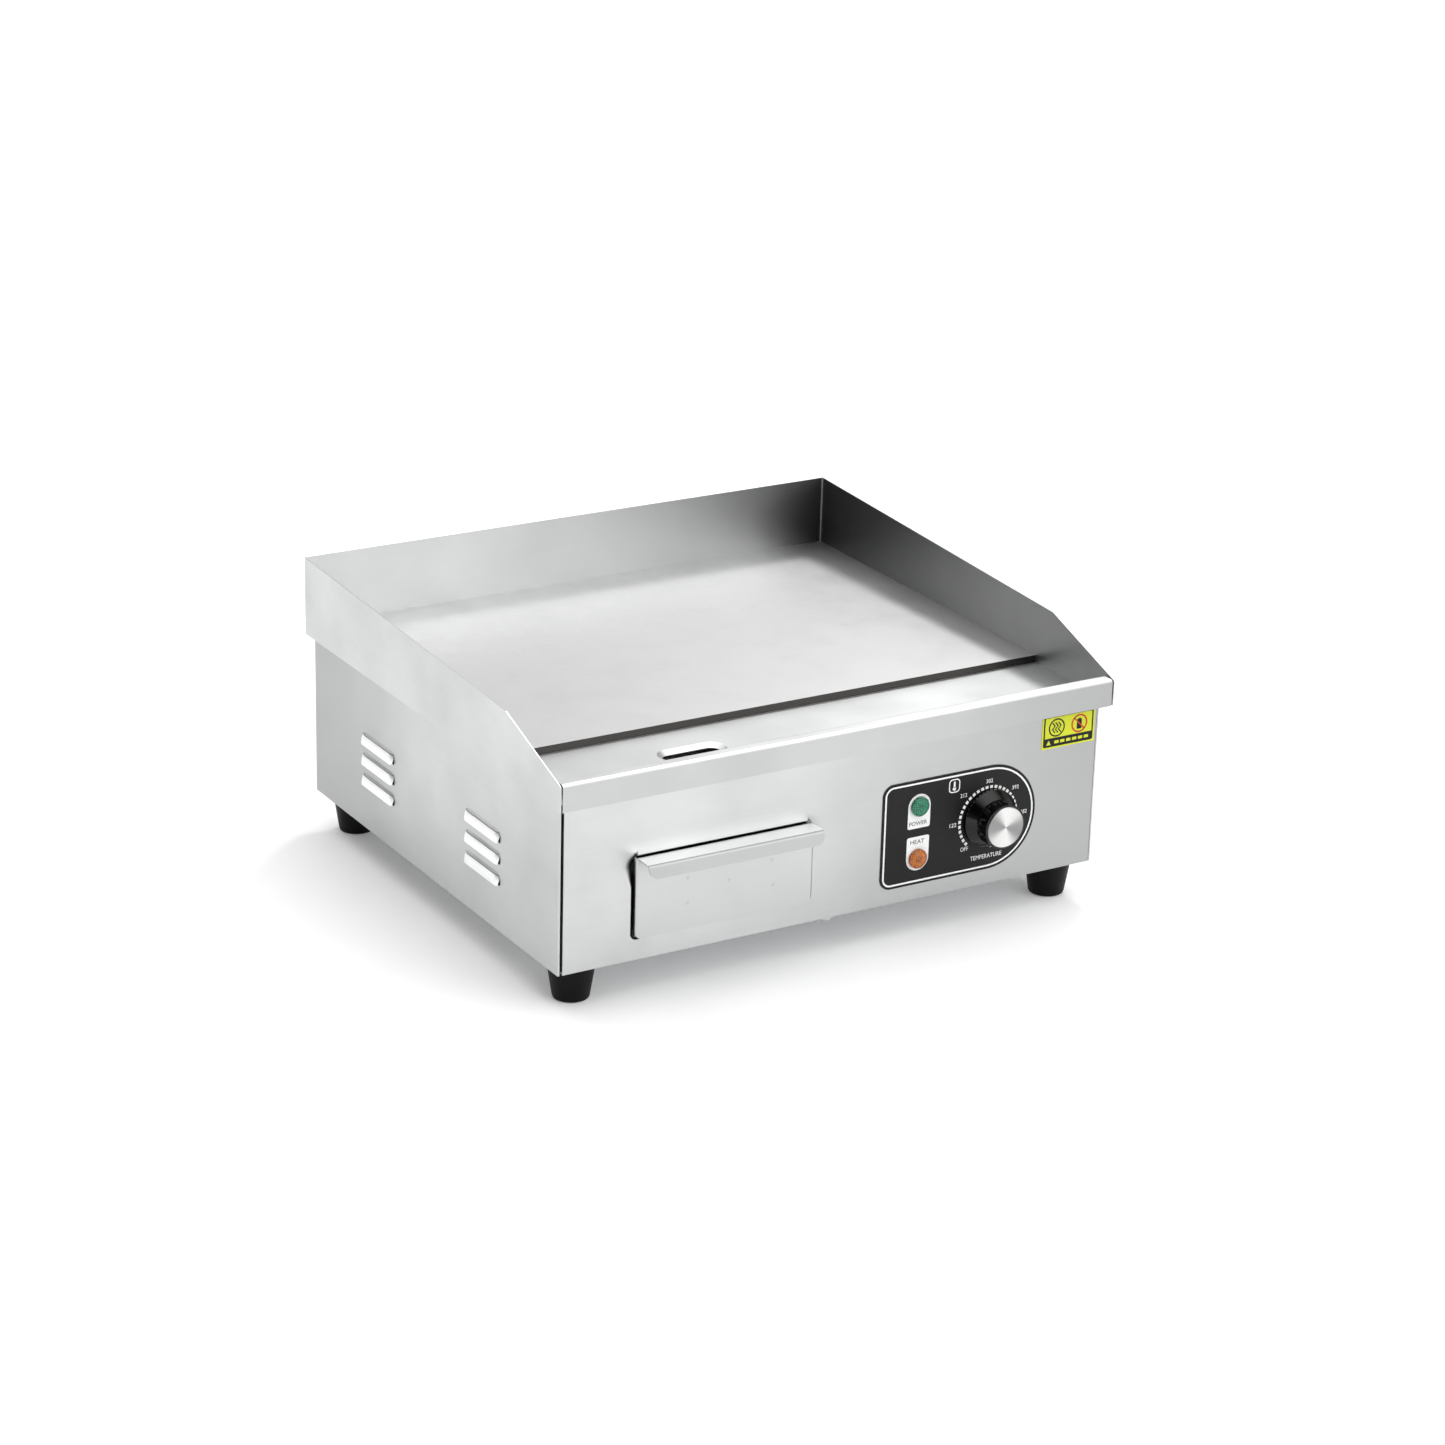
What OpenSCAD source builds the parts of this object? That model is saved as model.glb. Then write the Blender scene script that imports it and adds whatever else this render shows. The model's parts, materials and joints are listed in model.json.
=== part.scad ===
// Counter-top electric griddle: a flat steel cooking plate inside a three-sided
// splash guard, on a folded sheet body with a grease drawer and a control panel.
// Frame: X across the griddle, -Y towards the cook, +Z up. The origin is on the
// surface that the feet stand on, at the middle of the box round the griddle.

/* [Cooking plate] */
// Width of the cooking plate
plate_w = 451; // [400:1:600]
// Depth of the cooking plate, front to back
plate_d = 300; // [250:1:380]
// Thickness of the cooking plate
plate_t = 6; // [5:0.5:10]

/* [Sheet metal] */
// Thickness of the folded stainless sheet
sheet_t = 0.8; // [0.6:0.1:1.2]

/* [Body] */
// Height of the folded body, without its feet
body_h = 124.8; // [115:0.1:150]
// How far the top stands out past each side of the body
side_overhang = 4.8; // [4.8:0.1:12]
// How far the top stands out past the rear of the body
rear_overhang = 6.2; // [5:0.1:12]
// Width of the top and bottom flanges of the panels
flange_w = 14; // [10:1:18]
// Gap between the front panel and the left side panel's hem
panel_gap = 1.8; // [0.5:0.1:3]
// Gap between the front panel and the right side panel's hem
right_gap = 0.5; // [0.3:0.1:3]

/* [Deck and splash guard] */
// Depth of the grease deck, from the body's front to the plate
deck_d = 88; // [70:1:120]
// How far the apron stands in front of the body
apron_overhang = 9.7; // [8:0.1:14]
// Height of the deck's front lip above the body
lip_h = 18.7; // [12:0.1:24]
// Thickness of the front lip, front to back
lip_w = 11.4; // [9:0.1:18]
// How far the skirt and apron hang below the top of the body
skirt_drop = 1.2; // [1:0.1:12]
// Height of the splash guard at the rear, above the body
guard_h = 58.8; // [50:0.1:90]
// Height of the splash guard at its bend, above the body
guard_bend_h = 45.4; // [30:0.1:48]
// Distance from the apron back to the guard's bend
guard_bend_run = 78.6; // [50:0.1:110]

/* [Drain slot] */
// Length of the drain slot
slot_l = 45; // [30:1:60]
// Width of the drain slot
slot_w = 14; // [10:0.5:18]
// Width of the pressed dish round the slot
dish_w = 4; // [3:0.5:6]
// Depth of the pressed dish
dish_depth = 3; // [2:0.5:5]

/* [Grease drawer] */
// Width of the drawer opening
opening_w = 145.5; // [110:0.5:150]
// Height of the drawer opening
opening_h = 59.6; // [50:0.1:66]
// Height of the opening's lower edge above the body's bottom
opening_z = 15; // [12:1:24]
// Distance from the body's left side to the opening
opening_from_side = 56; // [50:1:66]
// Gap round the drawer front in its opening
drawer_gap = 2; // [1:0.1:4]
// How far the drawer front sits right of its opening's middle
drawer_shift = 0.6; // [0:0.1:0.9]
// How far the drawer front stands out of the body
drawer_proud = 2.8; // [1:0.1:5]
// Length of the drawer tray
tray_l = 226; // [150:1:240]
// How far the drawer's handle reaches forward
handle_reach = 17.6; // [12:0.1:18.4]
// Length of the handle's turned-down face below its bend
handle_face = 8; // [4:0.5:9]
// How far the drawer front stands above the opening's edge
front_lap = 1.7; // [0:0.1:3]
// Height of the rolled edge above the drawer
roll_h = 8; // [5:0.5:9]
// How far the rolled edge turns back into the body
roll_d = 3; // [2:0.1:4]

/* [Controls] */
// Width of the control label
label_w = 131.5; // [120:0.5:140]
// Height of the control label
label_h = 80; // [70:0.5:84]
// Distance from the body's right side to the label
label_from_side = 53; // [45:1:60]
// Height of the label's centre above the body's bottom
label_z = 51.5; // [46:0.5:60]
// Spacing of the two lamps
lamp_pitch = 40; // [34:1:44]
// Diameter of a lamp's lens
lens_d = 14.5; // [12:0.5:18]
// Diameter of the knob's skirt
knob_d = 44; // [38:1:46]
// Height of the knob from the label
knob_h = 21; // [18:0.5:30]
// Diameter of the knob's metal cap
cap_d = 30.4; // [26:0.2:32]
// Diameter of the thermostat's shaft
shaft_d = 6; // [5:0.5:7]

/* [Louvres] */
// Length of a louvre
louvre_l = 55; // [40:1:70]
// Height of a louvre
louvre_h = 8.6; // [7:0.1:10]
// How far a louvre stands out
louvre_out = 2.7; // [2.2:0.1:4]
// Spacing of the louvres in a group
louvre_pitch = 16; // [12:0.5:20]

/* [Feet] */
// Height of the feet
foot_h = 28; // [20:1:40]
// Diameter of a foot where it meets the body
foot_top_d = 34.7; // [28:0.1:38]
// Diameter of a foot where it stands
foot_base_d = 26.6; // [20:0.1:28]
// Distance from the body's sides to the centre of a foot
foot_inset = 22.4; // [20:0.1:30]

/* [Cord gland] */
// Diameter of the gland's bore
gland_bore = 8.4; // [7:0.1:10]
// Length of the gland outside the rear panel
gland_out = 14; // [10:0.5:20]

/* [Heating] */
// Diameter of the tubular heating elements
tube_d = 7; // [6:0.5:8]
// Spacing of an element's runs
run_pitch = 30; // [24:1:32]

/* [Hidden] */

steel = "silver";
dark_steel = "dimgray";
black = "#222222";
eps = 0.02;             // how far a cutter runs past a face
$fn = 48;

// top and body
top_w = plate_w + 2 * sheet_t;
body_w = top_w - 2 * side_overhang;
top_back = deck_d + plate_d + sheet_t;
body_d = top_back - rear_overhang;
half_w = body_w / 2;
inner_w = half_w - sheet_t;
plate_z = body_h;
skirt_z = body_h - skirt_drop;
lip_z = body_h + lip_h;
corner_r = 2.4;                 // front top corner of the lip and guards

// what sets the griddle's box, front to back
label_t = 0.5;
knob_gap = 0.6;                 // clearance behind the knob
knob_face = label_t + knob_gap + knob_h;
rear_reach = body_d + gland_out;
front_y = (knob_face - rear_reach) / 2;

// panels
hem_w = 2 * sheet_t + 0.2;      // the side panels' folded front hem
hem_d = 10;
front_x0 = -half_w + hem_w + panel_gap;
front_x1 = half_w - hem_w - right_gap;
corner_flange = 42;             // bottom flange of the side panels, under the feet

// drawer
opening_x = -half_w + opening_from_side + opening_w / 2;
opening_r = 5;
roll_r = (roll_h * roll_h + roll_d * roll_d) / (2 * roll_d);
opening_flange = 10;            // depth of the flange round the opening
roll_taper = 15;                // length over which the roll dies away down each side
front_w = opening_w - 2 * drawer_gap;
front_z = opening_z + 1.3;
front_h = opening_z + opening_h + front_lap - front_z;
front_x = opening_x + drawer_shift;
front_fold = drawer_proud + 0.3;  // depth of the side folds of the drawer front
fold_r = 1.5;
tray_w = opening_w - 12;
tray_z = opening_z + 3;
tray_h = opening_h - 10;
rail_gap = 0.4;                 // clearance between the tray and its rails
rail_h = 20;
rail_ledge = 8;
rail_y = sheet_t + 0.2;
rail_l = tray_l + 8;

// controls
label_right = half_w - label_from_side;
label_r = label_h / 2;
knob_x = label_right - label_r;
lamp_x = label_right - label_w + 31;
lamp_zs = [label_z + lamp_pitch / 2, label_z - lamp_pitch / 2];
lamp_hole_d = 12;
bushing_d = 9.4;
shaft_out = 15;                 // shaft beyond the front panel
bracket_pitch = 28;             // between the thermostat bracket's screws
knob_back = -(label_t + knob_gap);

// louvres
// the section is a large arc below and a small one above, tangent to each other
louvre_top_r = 2.5;
louvre_top_angle = 70;
louvre_run = louvre_h - louvre_top_r * sin(louvre_top_angle);
louvre_rise = louvre_out - louvre_top_r * (1 - cos(louvre_top_angle));
louvre_arm = (louvre_run * louvre_run + louvre_rise * louvre_rise) / (2 * louvre_rise);
louvre_r = louvre_arm + louvre_top_r;
louvre_angle = asin(louvre_run / louvre_arm);
louvre_end_r = 9;
louvre_z = 34.3;                // lower edge of the lowest louvre
louvre_middle = body_d / 2 + 2;
louvre_from_middle = 82.5;

// feet and fasteners
foot_x = half_w - foot_inset;
foot_front = foot_inset - 0.4;
foot_back = body_d - foot_inset;
foot_screw_d = 5;
base_screw_x = -4;
base_screw_y = 6;
foot_recess_d = 14;
rear_screw_x = inner_w - flange_w / 2;
rear_screw_zs = [18, body_h - 18];
foot_seat = 8;                  // rubber left above the screw's washer

// heating
tube_gap = 0.1;
tube_z = plate_z - tube_gap - tube_d / 2;
run_half = plate_w / 2 - 40;
elbow_r = 9;
turn_x = run_half - run_pitch / 2;  // centres of the elements' bends
pin_x = run_half - elbow_r - 12;
bar_t = 3;
bar_z = tube_z - tube_d / 2 - tube_gap - bar_t;
bar_xs = [-130, 0, 130];
element_front_y = deck_d + plate_d / 4 - 1.5 * run_pitch;
rear_run_gap = 10.6;            // from the rear element's last run to the rear panel's flange
element_rear_y = body_d - flange_w - rear_run_gap - 3 * run_pitch;
stud_ys = [for (y0 = [element_front_y, element_rear_y], i = [0.5, 2.5]) y0 + i * run_pitch];
pin_z = 78;                     // lower ends of the elements' cold pins
stud_l = 20;
blanket_t = 12;
blanket_z = plate_z - stud_l - 1 - blanket_t;
shield_half = plate_w / 2 - 20;
shield_y0 = deck_d + 4;
shield_y1 = body_d - flange_w - 4;
pin_hole_d = tube_d + 2;

// rear and wiring
gland_x = half_w - 70;
gland_z = 36;
gland_hole_d = 16;
block_x = half_w - 110;
block_y = body_d - 60;
block_l = 46;
block_w = 22;
block_h = 18;
base_top = 2 * sheet_t;

module in_body() translate([0, front_y, foot_h]) children();

// ---------- general shapes ----------
module slab(x0, x1, y0, y1, z0, z1) translate([x0, y0, z0]) cube([x1 - x0, y1 - y0, z1 - z0]);

module rounded_rect(w, h, r) {
    square([w - 2 * r, h], center = true);
    square([w, h - 2 * r], center = true);
    for (sx = [-1, 1], sy = [-1, 1]) translate([sx * (w / 2 - r), sy * (h / 2 - r)]) circle(r);
}

// a 2D outline standing in the plane of the front, from depth y0 to y1
module upright(y0, y1) translate([0, y1, 0]) rotate([90, 0, 0]) linear_extrude(y1 - y0) children();

module rod_y(d, y0, y1) translate([0, y0, 0]) rotate([-90, 0, 0]) cylinder(d = d, h = y1 - y0);

// an oblong prism or frustum with round ends, from radius r0 at z0 to r1 at z1
module oblong(l, r0, r1, z0, z1) {
    for (s = [-1, 1]) translate([s * l / 2, 0, z0]) cylinder(r1 = r0, r2 = r1, h = z1 - z0);
    rotate([90, 0, 90]) translate([0, 0, -l / 2])
        linear_extrude(l) polygon([[-r0, z0], [r0, z0], [r1, z1], [-r1, z1]]);
}

module hex_nut(across, h, bore) difference() {
    cylinder(d = across / cos(30), h = h, $fn = 6);
    translate([0, 0, -eps]) cylinder(d = bore, h = h + 2 * eps);
}

// a pan-head screw: its head hangs below z = 0 and its shank rises above
module pan_screw(head_d, head_h, shank_d, shank_l) {
    translate([0, 0, -head_h / 2]) cylinder(d = head_d, h = head_h / 2);
    translate([0, 0, -head_h]) cylinder(d1 = head_d * 0.62, d2 = head_d, h = head_h / 2);
    cylinder(d = shank_d, h = shank_l);
}

// ---------- louvres ----------
// section of a louvre, out from the panel's face at x = 0, open at z = 0
module louvre_section(inset, back) {
    meet = louvre_run + (louvre_top_r - inset) * sin(louvre_angle);
    intersection() {
        union() {
            intersection() {
                translate([louvre_out - louvre_r, 0]) circle(louvre_r - inset, $fn = 96);
                translate([-louvre_r, 0]) square([2 * louvre_r, meet]);
            }
            translate([louvre_out - louvre_r + louvre_arm * cos(louvre_angle), louvre_run])
                circle(louvre_top_r - inset);
        }
        translate([-back, 0]) square([back + louvre_out, louvre_h]);
    }
}

louvre_straight = louvre_l / 2 - sqrt(pow(louvre_end_r, 2) - pow(louvre_end_r - louvre_out, 2));

module louvre_form(inset, back) {
    rotate([90, 0, 0]) translate([0, 0, -louvre_straight]) linear_extrude(2 * louvre_straight)
        louvre_section(inset, back);
    for (s = [-1, 1]) translate([louvre_out - louvre_end_r, s * louvre_straight, 0]) intersection() {
        rotate_extrude($fn = 96) intersection() {
            translate([louvre_end_r - louvre_out, 0]) louvre_section(inset, louvre_end_r);
            square([louvre_end_r, louvre_h]);
        }
        translate([louvre_end_r - louvre_out - back, -louvre_end_r, 0])
            cube([louvre_out + back, 2 * louvre_end_r, louvre_h]);
    }
}

// three louvres one above the other, out along +X from the face x = 0
module louvre_group(inset, back, drop)
    for (i = [0:2]) translate([0, 0, louvre_z + i * louvre_pitch - drop]) louvre_form(inset, back);

// the slits at a louvre's ends, which narrow from its free edge upwards
module end_slits() for (i = [0:2], s = [-1, 1])
    translate([0, s * louvre_l / 2, louvre_z + i * louvre_pitch]) rotate([90, 0, 0])
        translate([0, 0, louvre_straight - louvre_l / 2]) linear_extrude(louvre_l - 2 * louvre_straight)
            polygon([[0, -eps], [louvre_out - sheet_t, -eps], [0, 0.75 * louvre_h]]);

// a sheet, given as children, with two groups of louvres pressed out of it along +X
module louvred(spread) {
    difference() {
        children();
        for (s = [-1, 1]) translate([0, s * spread, 0]) louvre_group(sheet_t, sheet_t + eps, 0);
    }
    for (s = [-1, 1]) translate([0, s * spread, 0]) difference() {
        louvre_group(0, 0, 0);
        louvre_group(sheet_t, eps, eps);
        end_slits();
    }
}

// ---------- body panels ----------
// the right side panel; the left one is its mirror image
module side_panel() {
    translate([half_w, louvre_middle, 0]) louvred(louvre_from_middle)
        translate([-half_w, -louvre_middle, 0])
            slab(inner_w, half_w, hem_w / 2, body_d, 0, body_h);
    // hem: the front edge folded back on itself, with a round nose
    translate([half_w - hem_w / 2, hem_w / 2, 0]) intersection() {
        cylinder(d = hem_w, h = body_h);
        translate([-hem_w, -hem_w, 0]) cube([2 * hem_w, hem_w, body_h]);
    }
    slab(half_w - hem_w, half_w - hem_w + sheet_t, hem_w / 2, hem_d, 0, body_h);
    // top, bottom and rear flanges
    slab(inner_w - flange_w, inner_w, flange_w + 1, body_d, body_h - sheet_t, body_h);
    difference() {
        slab(inner_w - corner_flange, inner_w, flange_w + 1, body_d - 2 * sheet_t, 0, sheet_t);
        for (y = [foot_front, foot_back]) translate([foot_x, y, -eps])
            cylinder(d = foot_screw_d + 0.6, h = sheet_t + 2 * eps);
    }
    difference() {
        slab(inner_w - flange_w, inner_w, body_d - sheet_t, body_d, sheet_t, body_h - sheet_t);
        for (z = rear_screw_zs) translate([rear_screw_x, 0, z])
            rod_y(3.4, body_d - 2 * sheet_t, body_d + eps);
    }
}

module right_side_panel() color(steel) in_body() side_panel();
module left_side_panel() color(steel) in_body() mirror([1, 0, 0]) side_panel();

module opening_outline(grow) translate([opening_x, opening_z + opening_h / 2])
    rounded_rect(opening_w + 2 * grow, opening_h + 2 * grow, opening_r + grow);

// The sheet above the drawer rolls inwards, and the roll dies away down each side.
// Its section lies in a square that reaches out from the opening's edge and back from the face.
module roll_cut() difference() {
    translate([-eps, -eps]) square([roll_h + eps, roll_d + 2 * eps]);
    translate([roll_h, roll_r]) circle(roll_r, $fn = 96);
}
module roll_outer() intersection() {
    square([roll_h, roll_d + 2 * sheet_t]);
    translate([roll_h, roll_r]) circle(roll_r, $fn = 96);
}
module roll_inner() translate([roll_h, roll_r]) circle(roll_r - sheet_t, $fn = 96);

// the section swept along the opening's top edge and round its top corners
module along_top() translate([opening_x, 0, opening_z + opening_h]) {
    run = opening_w / 2 - opening_r;
    translate([-run, 0, 0]) rotate([90, 0, 90]) linear_extrude(2 * run) children();
    for (s = [0, 1]) mirror([s, 0, 0]) translate([run, 0, -opening_r]) rotate([-90, 0, 0])
        rotate_extrude(angle = -90) translate([opening_r, 0]) children();
}

// a section that shrinks towards the point (still, still) as it goes down both sides
module down_sides(still, length) for (s = [0, 1]) translate([opening_x, 0, 0]) mirror([s, 0, 0])
    translate([opening_w / 2 + still, still, opening_z + opening_h - opening_r]) mirror([0, 0, 1])
        linear_extrude(length, scale = 0.01) translate([-still, -still]) children();

module rolled_edge() difference() {
    union() {
        along_top() roll_outer();
        down_sides(0, roll_taper) roll_outer();
    }
    along_top() roll_inner();
    down_sides(sheet_t, roll_taper * (1 - sheet_t / (roll_d + 2 * sheet_t))) roll_inner();
}

module front_panel() color(steel) in_body() {
    rolled_edge();
    difference() {
        union() {
            slab(front_x0, front_x1, 0, sheet_t, 0, body_h);
            upright(0, opening_flange) opening_outline(sheet_t);
        }
        upright(-eps, opening_flange + eps) opening_outline(0);
        along_top() roll_cut();
        down_sides(0, roll_taper) roll_cut();
        for (z = lamp_zs) translate([lamp_x, 0, z]) rod_y(lamp_hole_d, -eps, sheet_t + eps);
        translate([knob_x, 0, label_z]) {
            rod_y(bushing_d + 0.4, -eps, sheet_t + eps);
            for (s = [-1, 1]) translate([s * bracket_pitch / 2, 0, 0])
                rod_y(3.4, -eps, sheet_t + eps);
        }
    }
    // side folds, notched at the bottom to clear the base plate
    fold_z = base_top + 0.4;
    for (x = [front_x0, front_x1 - sheet_t]) translate([x, sheet_t, fold_z])
        cube([sheet_t, flange_w - sheet_t, body_h - fold_z]);
    slab(front_x0 + sheet_t, front_x1 - sheet_t, sheet_t, flange_w, body_h - sheet_t, body_h);
    bottom_half = inner_w - corner_flange - 1;
    difference() {
        slab(-bottom_half, bottom_half, sheet_t, flange_w, 0, sheet_t);
        translate([base_screw_x, base_screw_y, -eps]) cylinder(d = 4.4, h = sheet_t + 2 * eps);
    }
}

// the rear panel lies inside the side panels' rear flanges
module rear_panel() color(steel) in_body() {
    reach = inner_w - flange_w;
    rear_half = reach + flange_w - 1;
    inside = body_d - 2 * sheet_t;
    difference() {
        slab(-rear_half, rear_half, inside, inside + sheet_t, base_top + 0.2, body_h - sheet_t);
        translate([gland_x, 0, gland_z]) rod_y(gland_hole_d + 0.4, inside - eps, body_d);
        for (s = [-1, 1], z = rear_screw_zs) translate([s * rear_screw_x, 0, z])
            rod_y(3.4, inside - eps, body_d);
    }
    slab(-reach + 1, reach - 1, inside - flange_w, inside, body_h - 2 * sheet_t, body_h - sheet_t);
}

module base_plate() color(dark_steel) in_body() difference() {
    slab(-inner_w + 1, inner_w - 1, 2, body_d - 2 * sheet_t - 1, sheet_t, base_top);
    for (sx = [-1, 1], y = [foot_front, foot_back]) translate([sx * foot_x, y, 0])
        cylinder(d = foot_screw_d + 0.6, h = 2 * base_top);
    translate([base_screw_x, base_screw_y, 0]) cylinder(d = 4.4, h = 2 * base_top);
    for (x = [-110, 110], i = [-3:3]) translate([x, body_d * 0.55 + 14 * i, 0])
        oblong(60, 3, 3, sheet_t - eps, base_top + eps);
}

// ---------- top ----------
module guard_outline() polygon([
    [-apron_overhang, skirt_z],
    [-apron_overhang, lip_z - corner_r],
    for (a = [0:15:60]) [-apron_overhang + corner_r * (1 - cos(a)), lip_z - corner_r * (1 - sin(a))],
    [guard_bend_run - apron_overhang, body_h + guard_bend_h],
    [top_back, body_h + guard_h],
    [top_back, skirt_z]]);

module side_guard() translate([plate_w / 2, 0, 0])
    rotate([90, 0, 90]) linear_extrude(sheet_t) guard_outline();

module right_splash_guard() color(steel) in_body() side_guard();
module left_splash_guard() color(steel) in_body() mirror([1, 0, 0]) side_guard();
module rear_splash_guard() color(steel) in_body()
    slab(-plate_w / 2, plate_w / 2, top_back - sheet_t, top_back, skirt_z, body_h + guard_h);

module griddle_plate() color("gainsboro") in_body()
    slab(-plate_w / 2, plate_w / 2, deck_d, deck_d + plate_d, plate_z, plate_z + plate_t);

lip_back = lip_w - apron_overhang;
slot_y = 45.6;
apron_gap = 1.2;
module deck_profile(inset) {
    r = corner_r - inset;
    f = -apron_overhang + inset;
    b = lip_back - inset;
    t = lip_z - inset;
    translate([f + r, skirt_z - inset]) square([b - f - 2 * r, t - skirt_z + inset]);
    translate([f, skirt_z - inset]) square([b - f, t - r - skirt_z + inset]);
    for (y = [f + r, b - r]) translate([y, t - r]) circle(r);
}

module grease_deck() color(steel) in_body() {
    apron_half = plate_w / 2 - apron_gap;
    // lip and apron, folded from one sheet
    translate([-apron_half, 0, 0]) rotate([90, 0, 90]) linear_extrude(2 * apron_half) difference() {
        deck_profile(0);
        deck_profile(sheet_t);
        translate([lip_back - sheet_t - eps, 0]) square([2 * sheet_t, body_h]);
    }
    // flat of the deck, with the drain slot pressed in
    difference() {
        union() {
            slab(-plate_w / 2, plate_w / 2, lip_back - sheet_t, deck_d - 0.3, body_h, body_h + sheet_t);
            translate([opening_x, slot_y, body_h + sheet_t])
                oblong(slot_l - slot_w, slot_w / 2 + sheet_t, slot_w / 2 + dish_w + sheet_t,
                    -dish_depth - sheet_t, -sheet_t + eps);
        }
        translate([opening_x, slot_y, body_h + sheet_t]) {
            oblong(slot_l - slot_w, slot_w / 2, slot_w / 2 + dish_w, -dish_depth, eps);
            oblong(slot_l - slot_w, slot_w / 2, slot_w / 2, -dish_depth - 2 * sheet_t, eps);
        }
    }
}

// ---------- heating ----------
module serpentine(y0) {
    for (i = [0:3]) translate([-turn_x, y0 + i * run_pitch, tube_z]) rotate([0, 90, 0])
        cylinder(d = tube_d, h = turn_x + (i == 0 || i == 3 ? pin_x : turn_x));
    for (i = [0, 2]) turn(-1, y0 + (i + 0.5) * run_pitch);
    turn(1, y0 + 1.5 * run_pitch);
    for (i = [0, 3]) translate([pin_x, y0 + i * run_pitch, tube_z - elbow_r]) {
        rotate([90, 0, 0]) rotate_extrude(angle = 90) translate([elbow_r, 0]) circle(d = tube_d);
        translate([elbow_r, 0, pin_z - tube_z + elbow_r]) {
            cylinder(d = tube_d, h = tube_z - elbow_r - pin_z);
            translate([0, 0, -8]) cylinder(d = 3, h = 8 + eps);
        }
    }
}

// a half turn joining two runs, on the left (-1) or right (+1) end
module turn(side, y) translate([side * turn_x, y, tube_z]) rotate([0, 0, -90 * side])
    rotate_extrude(angle = 180) translate([run_pitch / 2, 0]) circle(d = tube_d);

module front_heating_element() color(dark_steel) in_body() serpentine(element_front_y);
module rear_heating_element() color(dark_steel) in_body() serpentine(element_rear_y);

module at_studs() for (x = bar_xs, y = stud_ys) translate([x, y, 0]) children();

module element_clamp_bars() color(dark_steel) in_body() difference() {
    for (x = bar_xs, y0 = [element_front_y, element_rear_y])
        slab(x - 10, x + 10, y0 - 10, y0 + 3 * run_pitch + 10, bar_z, bar_z + bar_t);
    at_studs() translate([0, 0, bar_z - eps]) cylinder(d = 6.6, h = bar_t + 2 * eps);
}

module plate_studs() color(steel) in_body() at_studs()
    translate([0, 0, plate_z - stud_l]) cylinder(d = 6, h = stud_l);

module clamp_nuts() color(steel) in_body() at_studs()
    translate([0, 0, bar_z - 5]) hex_nut(10, 5, 6.2);

module pin_holes(z0, z1) for (y0 = [element_front_y, element_rear_y], i = [0, 3])
    translate([pin_x + elbow_r, y0 + i * run_pitch, z0]) cylinder(d = pin_hole_d, h = z1 - z0);

module insulation_blanket() color("white") in_body() difference() {
    slab(-shield_half + 2, shield_half - 2, shield_y0 + 1, shield_y1 - 1, blanket_z, blanket_z + blanket_t);
    pin_holes(blanket_z - eps, blanket_z + blanket_t + eps);
}

module heat_shield() color(steel) in_body() {
    difference() {
        slab(-shield_half, shield_half, shield_y0, shield_y1, blanket_z - sheet_t, blanket_z);
        pin_holes(blanket_z - 2 * sheet_t, blanket_z + eps);
    }
    for (s = [-1, 1]) {
        top = body_h - sheet_t;
        x = s * (shield_half + sheet_t / 2);
        translate([x - sheet_t / 2, shield_y0, blanket_z - sheet_t])
            cube([sheet_t, shield_y1 - shield_y0, top - blanket_z + sheet_t]);
        lip = inner_w - 3 - shield_half - sheet_t;
        translate([s > 0 ? shield_half + sheet_t : -shield_half - sheet_t - lip, shield_y0, top - sheet_t])
            cube([lip, shield_y1 - shield_y0, sheet_t]);
    }
}

// ---------- drawer and its rails ----------
module drawer_rail() {
    web = tray_w / 2 + 1.5;
    bottom = tray_z - rail_gap - sheet_t;
    slab(web, web + sheet_t, rail_y, rail_y + rail_l, bottom, bottom + rail_h);
    slab(web - rail_ledge, web, opening_flange + 1, rail_y + rail_l, bottom, bottom + sheet_t);
    // feet that stand on the base plate
    for (y = [24, rail_y + rail_l - 30])
        slab(web, web + sheet_t, y, y + 20, base_top, bottom);
    for (y = [24, rail_y + rail_l - 30])
        slab(web + sheet_t, web + 12, y, y + 20, base_top, base_top + sheet_t);
}
module right_drawer_rail() color(steel) in_body() translate([opening_x, 0, 0]) drawer_rail();
module left_drawer_rail() color(steel) in_body() translate([opening_x, 0, 0]) mirror([1, 0, 0]) drawer_rail();

module drawer_stop() color(steel) in_body() {
    y = tray_l + drawer_gap + 0.5;
    slab(opening_x - 20, opening_x + 20, y, y + sheet_t, base_top, tray_z + 22);
    slab(opening_x - 20, opening_x + 20, y + sheet_t, y + 16, base_top, base_top + sheet_t);
}

drawer_face = -drawer_proud;
front_top = front_z + front_h;
handle_w = front_w - 2 * 0.9;
handle_r = 2.2;
handle_turn = 75;               // how far the handle bends over
handle_corner = 7;              // round lower corners of the handle's face

// the handle's section: out along -Y from the front's top edge, over a bend and down
module handle_section() {
    flare = handle_face * cos(handle_turn);
    bend = [drawer_face - handle_reach + handle_r + flare, front_top - handle_r];
    translate([bend[0], front_top - sheet_t]) square([drawer_face + sheet_t - bend[0], sheet_t]);
    translate(bend) {
        difference() {
            circle(handle_r);
            circle(handle_r - sheet_t);
            translate([0, -handle_r]) square(2 * handle_r);
            rotate(90 + handle_turn) translate([-handle_r, 0]) square(2 * handle_r);
        }
        rotate(90 + handle_turn) translate([handle_r - sheet_t, 0]) square([sheet_t, handle_face]);
    }
}

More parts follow.
